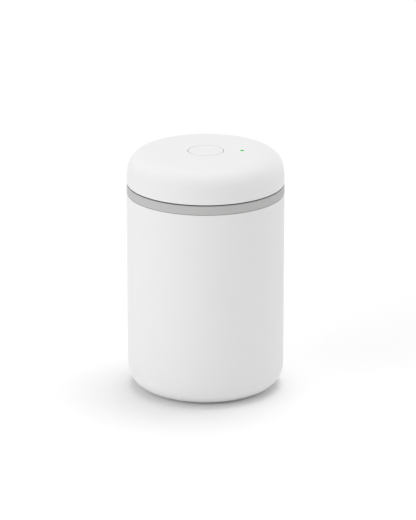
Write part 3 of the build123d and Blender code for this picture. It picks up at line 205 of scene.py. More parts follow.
class LidSizes(bpy.types.PropertyGroup):
    """Sizes of the lid's white cover."""

    wall: size("Wall", 2.4, "Thickness of the cover")
    flat: size("Flat radius", 35, "Radius where the flat top ends")
    side: size("Side height", 1.95, "Height of the straight side")
    top_pull: share("Top pull", 0.707, "How far the soft corner follows the flat top")
    side_pull: share("Side pull", 0.898, "How far the soft corner follows the side")
    edge_round: size("Edge round", 0.5, "Rounding of the cover's lower edge")
    hole: size("Button hole", 13.75, "Radius of the hole for the button")
    hole_round: size("Hole round", 0.16, "Rounding of the edge round the button")
    well_wall: size("Well wall", 2, "Thickness of the button well")
    well_depth: size("Well depth", 7.4, "Depth of the button well under the ceiling")
    post: size("Post radius", 3.7, "Radius of the screw posts")
    post_reach: size("Post reach", 45.9, "Distance of the screw posts from the axis")
    post_turn: FloatProperty(
        name="Post turn", description="Angle of the first screw post from the right side",
        default=math.radians(60.6), subtype="ANGLE", unit="ROTATION",
    )
    pilot: size("Pilot radius", 1.45, "Radius of the screw's hole in a post")
    pilot_depth: size("Pilot depth", 9, "Depth of the screw's hole in a post")


class PlugSizes(bpy.types.PropertyGroup):
    """Sizes of the tray that closes the lid from below, and of its seals."""

    plug: size("Plug radius", 52.4, "Radius of the plug inside the mouth")
    wall: size("Wall", 2, "Thickness of the tray")
    rib: size("Rib radius", 54.6, "Radius of the ribs beside the seal")
    rib_height: size("Rib height", 1.2, "Height of the lower rib")
    flange: size("Flange radius", 57.4, "Radius of the flange inside the cover")
    edge_round: size("Edge round", 0.5, "Rounding of the plug's lower edge")
    filter_ring: size("Filter ring radius", 14.2, "Outer radius of the ring round the filter")
    filter_ring_wall: size("Filter ring wall", 1.6, "Thickness of that ring")
    filter_ring_height: size("Filter ring height", 3.2, "Height of that ring")
    head_hole: size("Screw head hole", 3, "Radius of the hole for a screw's head")
    head_depth: size("Screw head depth", 5, "Depth of the hole for a screw's head")
    shank_hole: size("Shank hole", 1.7, "Radius of the hole for a screw's shank")
    air_hole: size("Air hole", 1.2, "Radius of the hole that the pump draws through")
    air_seat: size("Air seat", 6, "Radius of the seat round the air hole")
    board_post: size("Board post", 2.6, "Radius of the posts under the board")
    pump_post: size("Pump post", 2.8, "Radius of the posts under the pump's ears")
    lug_seat: size("Lug seat", 3.4, "Radius of the seats under the air block's lugs")
    pilot: size("Pilot radius", 0.9, "Radius of the small screws' holes in the posts")
    pilot_depth: size("Pilot depth", 6, "Depth of the small screws' holes under the board")
    pin: size("Pin radius", 1.2, "Radius of the two pins that place the battery holder")
    pin_height: size("Pin height", 1.2, "Height of those pins")
    cap_height: size("Screw cap height", 2.2, "Height of the soft caps over the screws")
    seal_fit: size("Seal fit", 0.05, "Room between the tray and its soft pieces")
    seal_round: size("Seal round", 0.17, "Rounding of the soft pieces' edges")
    lip_tip: size("Lip radius", 55.2, "Radius of the tips of the seal's lips")
    lip_share: share("Lip thickness", 0.11, "Thickness of a lip's tip, of the seal's height")
    lip_rise: share("Lip rise", 0.2, "Rise of a lip from its root to its tip, of that height")
    lip_foot: share("Lip foot", 0.36, "Height of a lip at its root, of that height")
    line_inset: size("Seal line inset", 1.3, "How far the dark seal line stands back")
    line_bore: size("Seal line bore", 55.9, "Inner radius of the dark seal line")
    line_tongue: size("Seal line tongue", 0.8, "Thickness of its tongue in the tray's groove")
    groove_room: size("Groove room", 0.1, "Room round that tongue in the groove")
    cap_radius: size("Filter cap radius", 15.7, "Outer radius of the filter cap")
    cap_wall: size("Filter cap wall", 1.2, "Thickness of the filter cap")
    cap_round: size("Filter cap round", 0.5, "Rounding of the filter cap's edge")
    cap_hole: size("Filter hole", 1.6, "Radius of the holes in the filter cap")
    cap_circle: size("Filter hole circle", 8, "Radius of the circle that the holes stand on")
    cap_holes: IntProperty(
        name="Filter holes", description="Number of holes round the middle one", default=8
    )


class TopSizes(bpy.types.PropertyGroup):
    """Sizes of the button and the lamp on top of the lid, and of the port at its back."""

    button: size("Button radius", 13.3, "Radius of the push button")
    button_round: size("Button round", 0.16, "Rounding of the button's edge")
    button_roof: size("Button roof", 2.4, "Thickness of the button's top")
    button_skirt: size("Button skirt", 1.4, "Thickness of the button's skirt")
    button_stop: size("Button stop", 1.7, "How far the stop flange stands out")
    stop_height: size("Stop height", 1.2, "Height of the stop flange")
    button_post: size("Button post", 2, "Radius of the post over the switch")
    lamp_x: size("Lamp place", 27.7, "Distance of the lamp from the axis")
    lamp: size("Lamp radius", 1.6, "Radius of the light pipe")
    lamp_round: size("Lamp round", 0.12, "Rounding of the light pipe's end")
    lamp_flange: size("Lamp flange", 2.6, "Radius of the flange under the ceiling")
    flange_height: size("Flange height", 1.2, "Height of that flange")
    lamp_fit: size("Lamp fit", 0.05, "Room round the light pipe")
    port_width: size("Port width", 8.94, "Width of the charging port")
    port_height: size("Port height", 3.26, "Height of the charging port")
    port_gap: size("Port gap", 0.35, "Room between the port and the cover")
    port_wall: size("Port wall", 0.3, "Thickness of the port's shell")
    rim_round: size("Port rim round", 0.075, "Rounding of the port's rim")
    tongue_round: size("Tongue round", 0.12, "Rounding of the contact tongue's edges")
    contacts: IntProperty(
        name="Contacts", description="Number of contacts on each side of the tongue", default=12
    )
    contact_pitch: size("Contact pitch", 0.5, "Distance from one contact to the next")
    contact_rise: size("Contact rise", 0.015, "How far a contact stands out of the tongue")
    contact_reach: share("Contact reach", 0.7, "Length of a contact, of the tongue's length")


class FinishColours(bpy.types.PropertyGroup):
    """Colours of the surfaces that show."""

    coat: tint("Coat", (0.80, 0.80, 0.80), "Powder coat of the cup")
    cover: tint("Cover", (0.803, 0.803, 0.803), "Moulded cover and button")
    collar: tint("Collar", (0.50, 0.50, 0.497), "Moulded collar of the cup")
    # Partly the seal's own dark colour and partly painted shade: its near-black stands in for the
    # shade that falls in the gap between the lid and the collar
    seal_and_gap_shade: tint("Seal line", (0.012, 0.012, 0.013), "Dark seal between the lid and the collar")
    lamp: tint("Lamp", (0.003, 0.6, 0.006), "Light of the lamp")
    lamp_glow: share("Lamp glow", 0.92, "Strength of that light")
    lamp_shade: share("Lamp shade", 0.2, "How light the lamp's own colour is against its light")
    steel: tint("Steel", (0.70, 0.695, 0.68), "Bare steel inside the cup")
    tray: tint("Tray", (0.74, 0.74, 0.735), "Moulded underside of the lid")
    silicone: tint("Silicone", (0.42, 0.42, 0.415), "Mouth seal and screw caps")
    rubber: tint("Rubber", (0.06, 0.06, 0.062), "Foot of the cup")


class StageSettings(bpy.types.PropertyGroup):
    """Camera, floor and lamps."""

    lens: FloatProperty(
        name="Lens", description="Focal length of the camera", default=245.6, unit="CAMERA"
    )
    sensor: FloatProperty(
        name="Sensor", description="Width of the camera's sensor", default=36.0, unit="CAMERA"
    )
    distance: size("Distance", 2717, "Distance from the camera to the point that it looks at")
    look_height: size("Look height", 99.8, "Height of the point that the camera looks at")
    look_right: size("Look right", 1.82, "Sideways place of the camera")
    tilt: FloatProperty(
        name="Tilt", description="How far the camera looks down",
        default=math.radians(18.54), subtype="ANGLE", unit="ROTATION",
    )
    ambient: FloatProperty(
        name="Ambient", description="Strength of the even light from all sides", default=0.5
    )
    floor_colour: tint("Floor", (0.95, 0.95, 0.95), "Colour of the floor")
    floor_width: size("Floor width", 8000, "Side of the square floor")


def soft_corner(start, end, corner, start_pull, end_pull, count):
    """Points of a smooth corner whose middle is pulled towards the corner point."""
    first, last, middle = Vector(start), Vector(end), Vector(corner)
    curve = interpolate_bezier(
        first.to_3d(), (first + (middle - first) * start_pull).to_3d(),
        (last + (middle - last) * end_pull).to_3d(), last.to_3d(), count,
    )
    return [tuple(point.to_2d()) for point in curve]


def round_off(bm, parts, amount, steps, kind):
    """Rounds edges or single points of a shape in the given number of steps."""
    bmesh.ops.bevel(
        bm, geom=parts, offset=amount, offset_type="OFFSET", segments=steps, profile=0.5,
        affect=kind, material=-1,
    )


def spin_outline(bm, outline, steps, centre):
    """Spins an outline round an upright axis into a closed shape.

    Each corner is (radius, height) or (radius, height, round). An outline whose ends lie on the
    axis is closed there, and any other one is closed from its last corner to its first.
    """
    on_axis = outline[0][0] == 0 and outline[-1][0] == 0
    places, rounded = [], []
    for at, corner in enumerate(outline):
        here = Vector(corner[:2])
        if len(corner) == 2 or corner[2] == 0:
            places.append(here)
            continue
        before = Vector(outline[at - 1][:2]) - here
        after = Vector(outline[(at + 1) % len(outline)][:2]) - here
        reach = SUPPORT_REACH * corner[2]
        if before.length > SUPPORT_ROOM * reach:
            places.append(here + before.normalized() * reach)
        rounded.append((len(places), corner[2]))
        places.append(here)
        if after.length > SUPPORT_ROOM * reach:
            places.append(here + after.normalized() * reach)
    verts = [bm.verts.new((centre[0] + place.x, centre[1], place.y)) for place in places]
    for one, other in zip(verts, verts[1:]):
        bm.edges.new((one, other))
    if not on_axis:
        bm.edges.new((verts[-1], verts[0]))
    earlier = set(bm.verts) - set(verts)
    for at, amount in rounded:
        round_off(bm, [verts[at]], amount, CORNER_STEPS, "VERTICES")
    wire = [vert for vert in bm.verts if vert not in earlier]
    edges = [edge for edge in bm.edges if edge.verts[0] not in earlier]
    bmesh.ops.spin(
        bm, geom=wire + edges, cent=(*centre, 0.0), axis=(0.0, 0.0, 1.0),
        angle=2 * math.pi, steps=steps, use_merge=True,
    )
    spun = [vert for vert in bm.verts if vert not in earlier]
    bmesh.ops.remove_doubles(bm, verts=spun, dist=SAME_PLACE)


def in_metres(places):
    """Places on the tray, turned from millimetres into metres."""
    return [(x * MM, y * MM) for x, y in places]


def upright_bars(bm, places, radius, low, high):
    """Adds closed upright bars that stand at the given places."""
    for x, y in places:
        bmesh.ops.create_cone(
            bm, cap_ends=True, cap_tris=False, segments=SLIM_TURN, radius1=radius,
            radius2=radius, depth=high - low,
            matrix=Matrix.Translation((x, y, (low + high) / 2)) @ HALF_STEP,
        )


def oval_bar(bm, width, height, front, back, level):
    """Adds a closed bar with a flat oval section that lies along Y."""
    verts = bmesh.ops.create_circle(
        bm, cap_ends=True, segments=SLIM_TURN, radius=height / 2, matrix=HALF_STEP
    )["verts"]
    for side in (-1, 1):
        half = [vert for vert in verts if vert.co.x * side > 0]
        bmesh.ops.translate(bm, verts=half, vec=(side * (width - height) / 2, 0, 0))
    bmesh.ops.rotate(
        bm, verts=verts, cent=(0, 0, 0), matrix=Matrix.Rotation(math.pi / 2, 3, "X")
    )
    bmesh.ops.translate(bm, verts=verts, vec=(0, front, level))
    grown = bmesh.ops.extrude_face_region(bm, geom=verts[0].link_faces[:])
    moved = [item for item in grown["geom"] if isinstance(item, bmesh.types.BMVert)]
    bmesh.ops.translate(bm, verts=moved, vec=(0, back - front, 0))


def box_bar(bm, low, high):
    """Adds a closed box between two corners and returns its points."""
    verts = bmesh.ops.create_cube(bm, size=1.0)["verts"]
    bmesh.ops.scale(bm, verts=verts, vec=high - low)
    bmesh.ops.translate(bm, verts=verts, vec=(low + high) / 2)
    return verts


def soften(bm):
    """Shades faces smooth and keeps the edges of clear corners crisp."""
    for face in bm.faces:
        face.smooth = True
    for edge in bm.edges:
        edge.smooth = edge.calc_face_angle(0.0) < CRISP_ANGLE


def new_object(name, bm):
    """Makes a scene object from a closed shape, with its faces turned outwards."""
    bmesh.ops.recalc_face_normals(bm, faces=bm.faces)
    mesh = bpy.data.meshes.new(name)
    bm.to_mesh(mesh)
    bm.free()
    made = bpy.data.objects.new(name, mesh)
    bpy.context.scene.collection.objects.link(made)
    return made


def turned(name, outline, steps, centres=((0.0, 0.0),)):
    """Makes a scene object from an outline that is spun round each of the given centres."""
    bm = bmesh.new()
    for centre in centres:
        spin_outline(bm, outline, steps, centre)
    return new_object(name, bm)


def combine(target, bm, operation):
    """Joins a shape to an object or cuts it out of it, and keeps the result as its mesh."""
    tool = new_object("tool", bm)
    change = target.modifiers.new(operation.lower(), "BOOLEAN")
    change.operation = operation
    change.solver = "EXACT"
    change.object = tool
    bpy.context.view_layer.update()
    graph = bpy.context.evaluated_depsgraph_get()
    result = bpy.data.meshes.new_from_object(target.evaluated_get(graph))
    target.modifiers.clear()
    old = target.data
    target.data = result
    result.name = target.name
    bpy.data.meshes.remove(old)
    bpy.data.objects.remove(tool)


def finish_piece(made, body, slot, materials, *replaced):
    """Shades a piece, gives it its finishes and lets it ride on its body."""
    bm = bmesh.new()
    bm.from_mesh(made.data)
    soften(bm)
    bm.to_mesh(made.data)
    bm.free()
    keep = [poly.material_index for poly in made.data.polygons]
    made.data.materials.clear()
    for material in materials:
        made.data.materials.append(material)
    for poly, index in zip(made.data.polygons, keep):
        poly.material_index = min(index, len(materials) - 1)
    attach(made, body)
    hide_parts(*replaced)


def screw_places(lid):
    """The four places of the long screws."""
    x = lid.post_reach * math.cos(lid.post_turn)
    y = lid.post_reach * math.sin(lid.post_turn)
    return [(x, y), (-x, y), (-x, -y), (x, -y)]


def node(tree, kind, settings=(), inputs=()):
    """Adds a shader node, with its settings by name and its sockets by name or place."""
    made = tree.nodes.new(kind)
    for name, value in dict(settings).items():
        setattr(made, name, value)
    for socket, value in dict(inputs).items():
        made.inputs[socket].default_value = value
    return made


def empty_tree(owner, output_kind):
    """Empties the nodes of a material or a world and gives them a new output node."""
    owner.use_nodes = True
    owner.node_tree.nodes.clear()
    return owner.node_tree, node(owner.node_tree, output_kind)


def grain_pattern(tree, kind, grain):
    """Adds the fine texture of a finish and returns it with the socket that holds its value."""
    if kind == "cells":
        made = node(tree, "ShaderNodeTexVoronoi", inputs={"Scale": 1 / (grain * MM)})
        return made, made.outputs["Distance"]
    if kind in ("turns", "rings"):
        settings = {"wave_type": "BANDS", "bands_direction": "Z"}
        if kind == "rings":
            settings = {"wave_type": "RINGS", "rings_direction": "Z"}
        made = node(
            tree, "ShaderNodeTexWave", settings,
            {"Scale": WAVE_LENGTH / (grain * MM), "Distortion": 0.6, "Detail": 1.0},
        )
        return made, made.outputs["Fac"]
    made = node(
        tree, "ShaderNodeTexNoise",
        inputs={"Scale": 1 / (grain * MM), "Detail": 2.0, "Roughness": 0.55},
    )
    return made, made.outputs["Fac"]


def make_finish(
    name, colour, roughness, grain=0.5, relief=4.0, tone=0.02, spread=0.08,
    stretch=(1.0, 1.0, 1.0), drift=12.0, pattern="noise", sockets=(),
):
    """Builds a material from a fine pattern and a slow drift over the piece.

    The grain and the drift are the sizes of the two patterns in millimetres, the relief is the
    height of the fine one in micrometres, and the tone and the spread are the shares by which
    the colour and the roughness change.
    """
    material = bpy.data.materials.new(name)
    tree, output = empty_tree(material, "ShaderNodeOutputMaterial")
    link = tree.links.new
    shader = node(tree, "ShaderNodeBsdfPrincipled", inputs=sockets)
    place = node(tree, "ShaderNodeTexCoord")
    lay = node(tree, "ShaderNodeMapping", inputs={"Scale": stretch})
    fine, fine_value = grain_pattern(tree, pattern, grain)
    slow = node(tree, "ShaderNodeTexNoise", inputs={"Scale": 1 / (drift * MM), "Detail": 2.0})
    both = node(tree, "ShaderNodeMath", {"operation": "ADD"})
    darker = (*[channel * (1 - tone) for channel in colour], 1.0)
    lighter = (*[min(1, channel * (1 + tone)) for channel in colour], 1.0)
    shade = node(
        tree, "ShaderNodeMix", {"data_type": "RGBA"}, {MIX_FIRST: darker, MIX_SECOND: lighter}
    )
    evened = node(tree, "ShaderNodeMapRange", inputs=PATTERN_RANGE)
    dull = {"To Min": roughness * (1 - spread), "To Max": min(1.0, roughness * (1 + spread))}
    gloss = node(tree, "ShaderNodeMapRange", inputs={**PATTERN_RANGE, **dull})
    bump = node(tree, "ShaderNodeBump", inputs={"Strength": 1.0, "Distance": relief * MICRON})
    link(place.outputs["Object"], lay.inputs["Vector"])
    link(lay.outputs["Vector"], fine.inputs["Vector"])
    link(place.outputs["Object"], slow.inputs["Vector"])
    link(fine_value, both.inputs[0])
    link(slow.outputs["Fac"], both.inputs[1])
    link(both.outputs[0], evened.inputs["Value"])
    link(evened.outputs["Result"], shade.inputs[0])
    link(shade.outputs[MIX_RESULT], shader.inputs["Base Color"])
    link(both.outputs[0], gloss.inputs["Value"])
    link(gloss.outputs["Result"], shader.inputs["Roughness"])
    link(fine_value, bump.inputs["Height"])
    link(bump.outputs["Normal"], shader.inputs["Normal"])
    link(shader.outputs["BSDF"], output.inputs["Surface"])
    return material


class CANISTER_OT_cup(bpy.types.Operator):
    """Builds the coated steel cup with its neck, recess and bare inside."""

    bl_idname = "canister.build_cup"
    bl_label = "Cup"

    def execute(self, context):
        cup, colours = context.scene.canister_cup, context.scene.canister_colours
        low, wall = CUP_BASE, cup.wall
        inner, mouth = cup.radius - wall, cup.neck - wall
        flat, corner = cup.radius - cup.base_corner, cup.base_corner
        sunk, pull = low + cup.recess_depth, cup.base_fullness
        outline = [(0.0, sunk), (cup.recess, sunk), (cup.recess, low)]
        outline += soft_corner(
            (flat, low), (cup.radius, low + corner), (cup.radius, low), pull, pull, OUTER_POINTS
        )
        outline += [
            (cup.radius, SHOULDER, cup.shoulder_round),
            (cup.neck, SHOULDER),
            (cup.neck, NECK_TOP),
            (mouth, NECK_TOP),
            (mouth, SHOULDER - wall),
            (inner, SHOULDER - wall),
        ]
        outline += soft_corner(
            (inner, low + corner), (flat, low + wall), (inner, low + wall), pull, pull,
            INNER_POINTS,
        )
        outline += [
            (cup.recess + wall, low + wall), (cup.recess + wall, sunk + wall),
            (0.0, sunk + wall),
        ]
        made = turned("cup_shell", outline, WIDE_TURN)
        # Only the inside is bare steel: its wall and the rim are brushed, its floor is turned
        for face in made.data.polygons:
            if face.center.z < sunk + wall / 2:
                continue
            if face.normal.z > LEVEL_NORMAL:
                face.material_index = 1 if face.center.z > SHOULDER - wall else 2
            elif face.normal.xy.dot(face.center.xy) < 0:
                face.material_index = 1
        coat = make_finish(
            "powder_coat", colours.coat, roughness=0.58, grain=0.7, relief=7, tone=0.006,
            spread=0.06, sockets=SOFT,
        )
        steel = make_finish(
            "brushed_steel", colours.steel, roughness=0.3, grain=0.5, relief=2, tone=0.09,
            stretch=(0.02, 0.02, 1.0), sockets=METAL,
        )
        floor = make_finish(
            "turned_steel", colours.steel, roughness=0.32, grain=0.6, relief=3, tone=0.05,
            pattern="rings", sockets=METAL,
        )
        finish_piece(made, "canister", "coated_steel", [coat, steel, floor], "canister_body")
        return {"FINISHED"}


class CANISTER_OT_collar(bpy.types.Operator):
    """Builds the grey collar that caps the neck."""

    bl_idname = "canister.build_collar"
    bl_label = "Collar"

    def execute(self, context):
        cup, colours = context.scene.canister_cup, context.scene.canister_colours
        bore, mouth = cup.neck + cup.collar_clearance, cup.neck - cup.wall
        back, line_top = cup.radius - cup.joint_depth, SHOULDER + cup.joint_line
        outline = [
            (bore, SHOULDER), (back, SHOULDER), (back, line_top),
            (cup.radius, line_top, cup.joint_round), (cup.radius, COLLAR_TOP, cup.collar_round),
            (mouth, COLLAR_TOP, cup.mouth_round), (mouth, NECK_TOP), (bore, NECK_TOP),
        ]
        made = turned("rim_band", outline, WIDE_TURN)
        matte = make_finish(
            "collar_plastic", colours.collar, roughness=0.62, grain=0.3, relief=4, tone=0.012,
            sockets=SOFT,
        )
        finish_piece(made, "canister", "collar_grey", [matte], "rim_collar")
        return {"FINISHED"}


class CANISTER_OT_foot(bpy.types.Operator):
    """Builds the rubber foot with its ring grooves."""

    bl_idname = "canister.build_foot"
    bl_label = "Foot"

    def execute(self, context):
        cup, colours = context.scene.canister_cup, context.scene.canister_colours
        top = CUP_BASE + cup.recess_depth
        width, deep, edge = cup.foot_groove, cup.foot_groove_depth, cup.foot_groove_round
        outline = [(0.0, 0.0)]
        for at in FOOT_RINGS:
            near = cup.foot * at
            outline += [
                (near, 0.0, edge), (near, deep), (near + width, deep), (near + width, 0.0, edge)
            ]
        outline += [(cup.foot, 0.0, cup.foot_round), (cup.foot, top), (0.0, top)]
        made = turned("foot_disc", outline, MIDDLE_TURN)
        rubber = make_finish(
            "foot_rubber", colours.rubber, roughness=0.75, grain=0.3, relief=8, tone=0.1,
            sockets=SOFT,
        )
        finish_piece(made, "canister", "foot_rubber", [rubber], "foot_pad")
        return {"FINISHED"}


class CANISTER_OT_lid(bpy.types.Operator):
    """Builds the white cover with its button well, lamp hole, port hole and screw posts."""

    bl_idname = "canister.build_lid"
    bl_label = "Lid cover"

    def execute(self, context):
        scene = context.scene
        cup, lid, top = scene.canister_cup, scene.canister_lid, scene.canister_top
        outer, inner = cup.radius, cup.radius - lid.wall
        side, ceiling = LID_BOTTOM + lid.side, LID_TOP - lid.wall
        well, well_low = lid.hole + lid.well_wall, ceiling - lid.well_depth
        flange_top = LID_BOTTOM + scene.canister_plug.wall
        outline = [(lid.hole, LID_TOP, lid.hole_round)]
        outline += [(lid.flat * at, LID_TOP) for at in LID_RINGS]
        outline += soft_corner(
            (lid.flat, LID_TOP), (outer, side), (outer, LID_TOP), lid.top_pull, lid.side_pull,
            OUTER_POINTS,
        )
        outline += [(outer, LID_BOTTOM, lid.edge_round), (inner, LID_BOTTOM)]
        outline += soft_corner(
            (inner, side), (lid.flat, ceiling), (inner, ceiling), lid.side_pull, lid.top_pull,
            INNER_POINTS,
        )
        outline += [(well, ceiling), (well, well_low), (lid.hole, well_low)]
        made = turned("lid_shell", outline, WIDE_TURN)
        screws = screw_places(lid)
        posts = bmesh.new()
        upright_bars(posts, screws, lid.post, flange_top, ceiling)
        combine(made, posts, "UNION")
        holes = bmesh.new()
        upright_bars(holes, screws, lid.pilot, flange_top - lid.wall, flange_top + lid.pilot_depth)
        upright_bars(
            holes, [(top.lamp_x, 0.0)], top.lamp + top.lamp_fit, ceiling - lid.wall,
            LID_TOP + lid.wall,
        )
        # The port's hole is cut from inside the cover to outside it
        oval_bar(
            holes, top.port_width + 2 * top.port_gap, top.port_height + 2 * top.port_gap,
            outer - 3 * lid.wall, outer + lid.wall, PORT_LEVEL,
        )
        combine(made, holes, "DIFFERENCE")
        plastic = make_finish(
            "cover_plastic", scene.canister_colours.cover, roughness=0.58, grain=0.35,
            relief=3, tone=0.005, spread=0.06, sockets=SOFT,
        )
        finish_piece(made, "lid", "white_shell", [plastic], "lid_cover")
        return {"FINISHED"}


class CANISTER_OT_plug(bpy.types.Operator):
    """Builds the tray that plugs the mouth, with its ribs, filter ring, posts and seats."""

    bl_idname = "canister.build_plug"
    bl_label = "Plug tray"

    def execute(self, context):
        scene = context.scene
        lid, plug = scene.canister_lid, scene.canister_plug
        low = RING_BOTTOM + plug.filter_ring_height
        floor, bore = low + plug.wall, plug.plug - plug.wall
        flange_top = LID_BOTTOM + plug.wall
        groove_in = plug.line_bore - plug.groove_room
        groove_out = plug.line_bore + plug.line_tongue + plug.groove_room
        groove_top = FLANGE_STEP + plug.groove_room
        ring, ring_bore = plug.filter_ring, plug.filter_ring - plug.filter_ring_wall
        seal_seat = AIR_SEAL_RADIUS + plug.groove_room
        edge = plug.edge_round
        outline = [
            (plug.air_hole, low), (ring_bore, low), (ring_bore, RING_BOTTOM, edge / 2),
            (ring, RING_BOTTOM, edge / 2), (ring, low), (plug.plug, low, edge),
            (plug.plug, SEAL_LOW - plug.rib_height),
            (plug.rib, SEAL_LOW - plug.rib_height, edge / 2), (plug.rib, SEAL_LOW, edge / 4),
            (plug.plug, SEAL_LOW), (plug.plug, SEAL_HIGH), (plug.rib, SEAL_HIGH, edge / 4),
            (plug.rib, LID_BOTTOM), (groove_in, LID_BOTTOM), (groove_in, groove_top),
            (groove_out, groove_top), (groove_out, LID_BOTTOM), (plug.flange, LID_BOTTOM),
            (plug.flange, flange_top), (bore, flange_top), (bore, floor),
            (plug.air_seat, floor), (plug.air_seat, SEAT_TOP), (seal_seat, SEAT_TOP),
            (seal_seat, AIR_SEAL_LOW), (plug.air_hole, AIR_SEAL_LOW),
        ]
        made = turned("plug_tray", outline, WIDE_TURN)
        screws, board_posts = screw_places(lid), in_metres(BOARD_POSTS)
        pump_posts, lug_seats = in_metres(PUMP_POSTS), in_metres(LUG_SEATS)
        # Posts start inside the floor, and holes end past the faces that they open
        root = floor - plug.wall / 2
        posts = bmesh.new()
        upright_bars(posts, screws, lid.post, root, flange_top)
        upright_bars(posts, board_posts, plug.board_post, root, BOARD_LOW)
        upright_bars(posts, pump_posts, plug.pump_post, root, BOSS_TOP)
        upright_bars(posts, lug_seats, plug.lug_seat, root, SEAT_TOP)
        upright_bars(posts, in_metres(HOLDER_PINS), plug.pin, root, floor + plug.pin_height)
        combine(made, posts, "UNION")
        holes = bmesh.new()
        upright_bars(holes, screws, plug.head_hole, low - plug.wall, low + plug.head_depth)
        upright_bars(
            holes, board_posts, plug.pilot, BOARD_LOW - plug.pilot_depth, BOARD_LOW + plug.wall
        )
        upright_bars(holes, pump_posts, plug.pilot, root, BOSS_TOP + plug.wall)
        upright_bars(holes, lug_seats, plug.pilot, root, SEAT_TOP + plug.wall)
        combine(made, holes, "DIFFERENCE")
        # The holes of the shanks run into those of the heads, so they are cut after them
        shanks = bmesh.new()
        upright_bars(shanks, screws, plug.shank_hole, low + plug.wall, flange_top + plug.wall)
        combine(made, shanks, "DIFFERENCE")
        plastic = make_finish(
            "tray_plastic", scene.canister_colours.tray, roughness=0.45, grain=0.4, relief=4,
            tone=0.01, sockets=SOFT,
        )
        finish_piece(made, "lid", "chassis_white", [plastic], "lid_chassis")
        return {"FINISHED"}


class CANISTER_OT_seals(bpy.types.Operator):
    """Builds the mouth seal with its two lips, the seal line, whose near-black colour is partly
    its own and partly painted shade of the gap under the lid, and the soft screw caps.
    """

    bl_idname = "canister.build_seals"
    bl_label = "Seals"

    def execute(self, context):
        scene = context.scene
        lid, plug = scene.canister_lid, scene.canister_plug
        height = SEAL_HIGH - SEAL_LOW
        back = plug.rib - plug.lip_share * (plug.rib - plug.plug)
        bore, soft = plug.plug + plug.seal_fit, plug.seal_round
        outline = [(bore, SEAL_LOW), (back, SEAL_LOW)]
        for at in LIP_ROOTS:
            root = SEAL_LOW + at * height
            tip = root + plug.lip_rise * height
            tip_top = tip + plug.lip_share * height
            outline += [
                (back, root), (plug.lip_tip, tip, soft), (plug.lip_tip, tip_top, soft),
                (back, root + plug.lip_foot * height),
            ]
        outline += [(back, SEAL_HIGH), (bore, SEAL_HIGH)]
        silicone = make_finish(
            "grey_silicone", scene.canister_colours.silicone, roughness=0.42, grain=0.5,
            relief=4, tone=0.02,
            sockets={"Subsurface Weight": 0.15, "Subsurface Scale": 2 * MM, "IOR": 1.41},
        )
        lips = turned("mouth_seal", outline, WIDE_TURN)
        finish_piece(lips, "lid", "gasket_clear", [silicone], "lip_gasket")

        outer = scene.canister_cup.radius - plug.line_inset
        rib = plug.line_bore + plug.line_tongue
        outline = [
            (plug.line_bore, COLLAR_TOP), (outer, COLLAR_TOP, soft), (outer, LID_BOTTOM, soft),
            (rib, LID_BOTTOM), (rib, FLANGE_STEP), (plug.line_bore, FLANGE_STEP),
        ]
        line = turned("seal_line", outline, WIDE_TURN)
        # The seal line is a real seal, but its near-black colour also paints the shade that falls
        # in the gap between the lid and the collar
        seal_gap_shade = make_finish(
            "silicone_with_painted_gap_shade", scene.canister_colours.seal_and_gap_shade, roughness=0.6, grain=0.3, relief=4,
            tone=0.08, sockets=SOFT,
        )
        finish_piece(line, "lid", "gasket_dark", [seal_gap_shade], "landing_gasket")

        low = RING_BOTTOM + plug.filter_ring_height
        high, radius = low + plug.cap_height, plug.head_hole - plug.seal_fit
        outline = [(0.0, low), (radius, low, soft), (radius, high), (0.0, high)]
        caps = turned("screw_caps", outline, SLIM_TURN, screw_places(lid))
        finish_piece(caps, "lid", "gasket_clear", [silicone], "screw_plugs")
        return {"FINISHED"}


class CANISTER_OT_filter(bpy.types.Operator):
    """Builds the filter cap with its round holes."""

    bl_idname = "canister.build_filter"
    bl_label = "Filter cap"

    def execute(self, context):
        scene = context.scene
        plug = scene.canister_plug
        outer, inner = plug.cap_radius, plug.cap_radius - plug.cap_wall
        floor, rim = CAP_LOW + plug.cap_wall, plug.cap_round / 3
        outline = [
            (plug.cap_hole, CAP_LOW), (outer, CAP_LOW, plug.cap_round), (outer, CAP_HIGH, rim),
            (inner, CAP_HIGH, rim), (inner, floor), (plug.cap_hole, floor),
        ]
        made = turned("filter_cup", outline, MIDDLE_TURN)
        turns = [2 * math.pi * at / plug.cap_holes for at in range(plug.cap_holes)]
        places = [
            (plug.cap_circle * math.cos(turn), plug.cap_circle * math.sin(turn)) for turn in turns
        ]
        holes = bmesh.new()
        upright_bars(holes, places, plug.cap_hole, CAP_LOW - plug.cap_wall, floor + plug.cap_wall)
        combine(made, holes, "DIFFERENCE")
        plastic = make_finish(
            "filter_plastic", scene.canister_colours.tray, roughness=0.42, grain=0.3, relief=4,
            tone=0.01, sockets=SOFT,
        )
        finish_piece(made, "filter_cap", "chassis_white", [plastic], "filter_cap")
        return {"FINISHED"}


class CANISTER_OT_button(bpy.types.Operator):
    """Builds the flush push button with its skirt, stop flange and post."""

    bl_idname = "canister.build_button"
    bl_label = "Button"

    def execute(self, context):
        scene = context.scene
        lid, top = scene.canister_lid, scene.canister_top
        roof = LID_TOP - top.button_roof
        stop = LID_TOP - lid.wall - lid.well_depth
        skirt = top.button - top.button_skirt
        low = stop - top.stop_height
        outline = [(top.button * at, LID_TOP) for at in BUTTON_RINGS]
        outline += [
            (top.button, LID_TOP, top.button_round), (top.button, stop),
            (top.button + top.button_stop, stop), (top.button + top.button_stop, low),
            (skirt, low), (skirt, roof), (top.button_post, roof), (top.button_post, BUTTON_LOW),
            (0.0, BUTTON_LOW),
        ]
        made = turned("push_button", outline, MIDDLE_TURN)
        plastic = make_finish(
            "button_plastic", scene.canister_colours.cover, roughness=0.56, grain=0.35,
            relief=3, tone=0.005, spread=0.06, sockets=SOFT,
        )
        finish_piece(made, "button", "button_white", [plastic], "button_cap")
        return {"FINISHED"}


